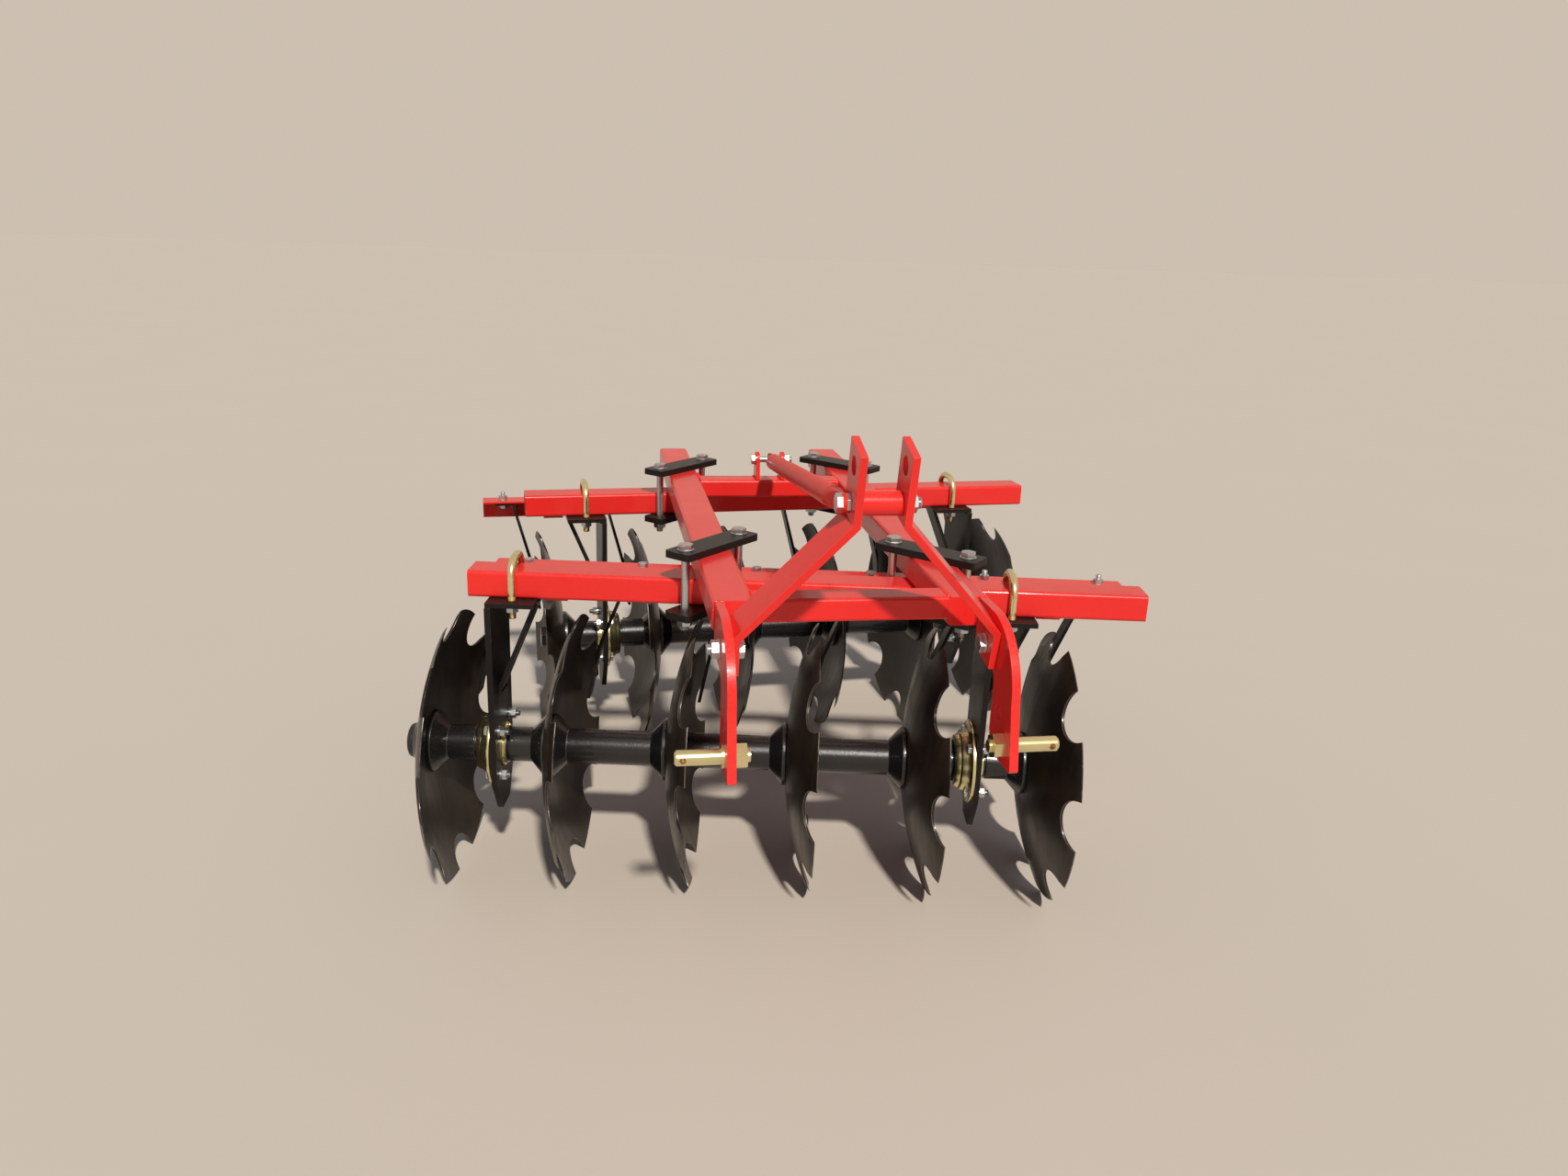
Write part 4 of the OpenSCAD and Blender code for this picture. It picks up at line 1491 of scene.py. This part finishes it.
@dataclass
class Studio:
    """Camera, lamp and the plain pale ground."""

    eye: Point = (-0.3566, -2.0846, 1.1203)
    pitch: float = 17.60
    roll: float = 2.226
    yaw: float = 10.15
    lens: float = 27.03
    floor_colour: Colour = (0.675, 0.58, 0.48)
    sky: Colour = (0.605, 0.525, 0.44)
    fill: Colour = (0.22, 0.245, 0.285)
    sun_power: float = 3.15
    sun_angle: float = 3.2
    sun_colour: Colour = (1.0, 0.97, 0.92)
    sun_travel: Point = (-0.06, 0.71, -0.70)
    floor_z: float = -0.0015
    floor_half: float = 30.0
    floor_rough: float = 0.85
    floor_shine: float = 0.2

    def camera(self) -> None:
        """Stands the camera where the photograph was taken."""
        pitch, roll, yaw = (math.radians(a) for a in (self.pitch, self.roll, self.yaw))
        level = math.cos(pitch)
        forward = Vector((math.sin(yaw) * level, math.cos(yaw) * level, -math.sin(pitch)))
        right = Vector((math.cos(yaw), -math.sin(yaw), 0.0))
        up = right.cross(forward)
        across = math.cos(roll) * right + math.sin(roll) * up
        upward = -math.sin(roll) * right + math.cos(roll) * up
        data = bpy.data.cameras.new("camera")
        data.lens = self.lens
        data.sensor_width = 36.0
        data.sensor_fit = "HORIZONTAL"
        data.clip_start = 0.05
        camera = bpy.data.objects.new("camera", data)
        bpy.context.scene.collection.objects.link(camera)
        turn = Matrix((across, upward, -forward)).transposed().to_4x4()
        camera.matrix_world = Matrix.Translation(self.eye) @ turn
        bpy.context.scene.camera = camera

    def light(self) -> None:
        """Hangs the one lamp and sets the world."""
        data = bpy.data.lights.new("key_lamp", "SUN")
        data.energy = self.sun_power
        data.angle = math.radians(self.sun_angle)
        data.color = self.sun_colour
        lamp = bpy.data.objects.new("key_lamp", data)
        lamp.rotation_euler = Vector(self.sun_travel).to_track_quat("-Z", "Y").to_euler()
        bpy.context.scene.collection.objects.link(lamp)
        world = bpy.data.worlds.new("studio")
        world.use_nodes = True
        bpy.context.scene.world = world
        sheet = Sheet(world.node_tree)
        world.node_tree.nodes.clear()
        path = sheet.add("ShaderNodeLightPath")
        seen = sheet.math("MAXIMUM", path.outputs["Is Camera Ray"], path.outputs["Is Transmission Ray"])
        seen = sheet.math("MAXIMUM", seen, path.outputs["Is Glossy Ray"])
        soft = sheet.add("ShaderNodeBackground", {"Color": (*self.fill, 1.0)})
        plain = sheet.add("ShaderNodeBackground", {"Color": (*self.sky, 1.0)})
        mixed = sheet.add("ShaderNodeMixShader", {0: seen, 1: soft.outputs[0], 2: plain.outputs[0]})
        sheet.add("ShaderNodeOutputWorld", {"Surface": mixed.outputs[0]})

    def floor(self) -> None:
        """Lays the ground."""
        shape = Shape()
        low = moved(0.0, 0.0, self.floor_z)
        bmesh.ops.create_grid(shape.bm, x_segments=2, y_segments=2, size=self.floor_half, matrix=low)
        mesh = bpy.data.meshes.new("ground")
        shape.bm.to_mesh(mesh)
        shape.bm.free()
        ground = bpy.data.objects.new("ground", mesh)
        bpy.context.scene.collection.objects.link(ground)
        material = bpy.data.materials.new("ground_finish")
        material.use_nodes = True
        sheet = Sheet(material.node_tree)
        surface = material.node_tree.nodes["Principled BSDF"]
        coords = sheet.add("ShaderNodeTexCoord").outputs["Object"]
        mottle = grouped(sheet, Effect.MOTTLE, coords, Broad=1.6, Fine=60.0)
        shade = sheet.math("MULTIPLY_ADD", mottle["Broad"], 0.25, 0.5, clamp=True)
        tone = sheet.mix(shade, self.floor_colour, tuple(c * 0.95 for c in self.floor_colour))
        looks = {"Roughness": self.floor_rough, "Specular IOR Level": self.floor_shine}
        sheet.feed(surface, {"Base Color": tone, **looks})
        mesh.materials.append(material)

    def build(self) -> None:
        """Sets up the whole studio."""
        self.camera()
        self.light()
        self.floor()
        bpy.context.scene.view_settings.view_transform = "Standard"


def stations() -> list[BearingStation]:
    """The four bearing stations, named as the CAD nodes are.

    Returns:
        The stations.
    """
    near, far = PLAN.rims[0], PLAN.rims[4]
    front, rear = PLAN.gang_front(), PLAN.gang_rear()
    return [
        BearingStation("front_left", front, near),
        BearingStation("front_right", front, far),
        BearingStation("rear_left", rear, far),
        BearingStation("rear_right", rear, near),
    ]


def main() -> None:
    """Builds the studio and every sub-assembly."""
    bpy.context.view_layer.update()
    Studio().build()
    flange = PLAN.beam_over_axle
    parts = [
        TubeFrame(),
        Hitch(),
        TopStay(),
        RailClamps(),
        *stations(),
        Gang("front", "front_gang", PLAN.gang_front(), FRONT_BLADES),
        Gang("rear", "rear_gang", PLAN.gang_rear(), REAR_BLADES),
        ScraperRow("front", PLAN.gang_front(), 1, arm_off=98.0, flange_z=flange, heads_up=4),
        ScraperRow("rear", PLAN.rear_line(), -1, arm_off=72.0, flange_z=flange - 12.0),
    ]
    total = 0
    for part in parts:
        made = part.build()
        total += len(made)
        LOG.info("%s: %d pieces", type(part).__name__, len(made))
    LOG.info("%d pieces in all", total)


if __name__ == "__main__":
    main()
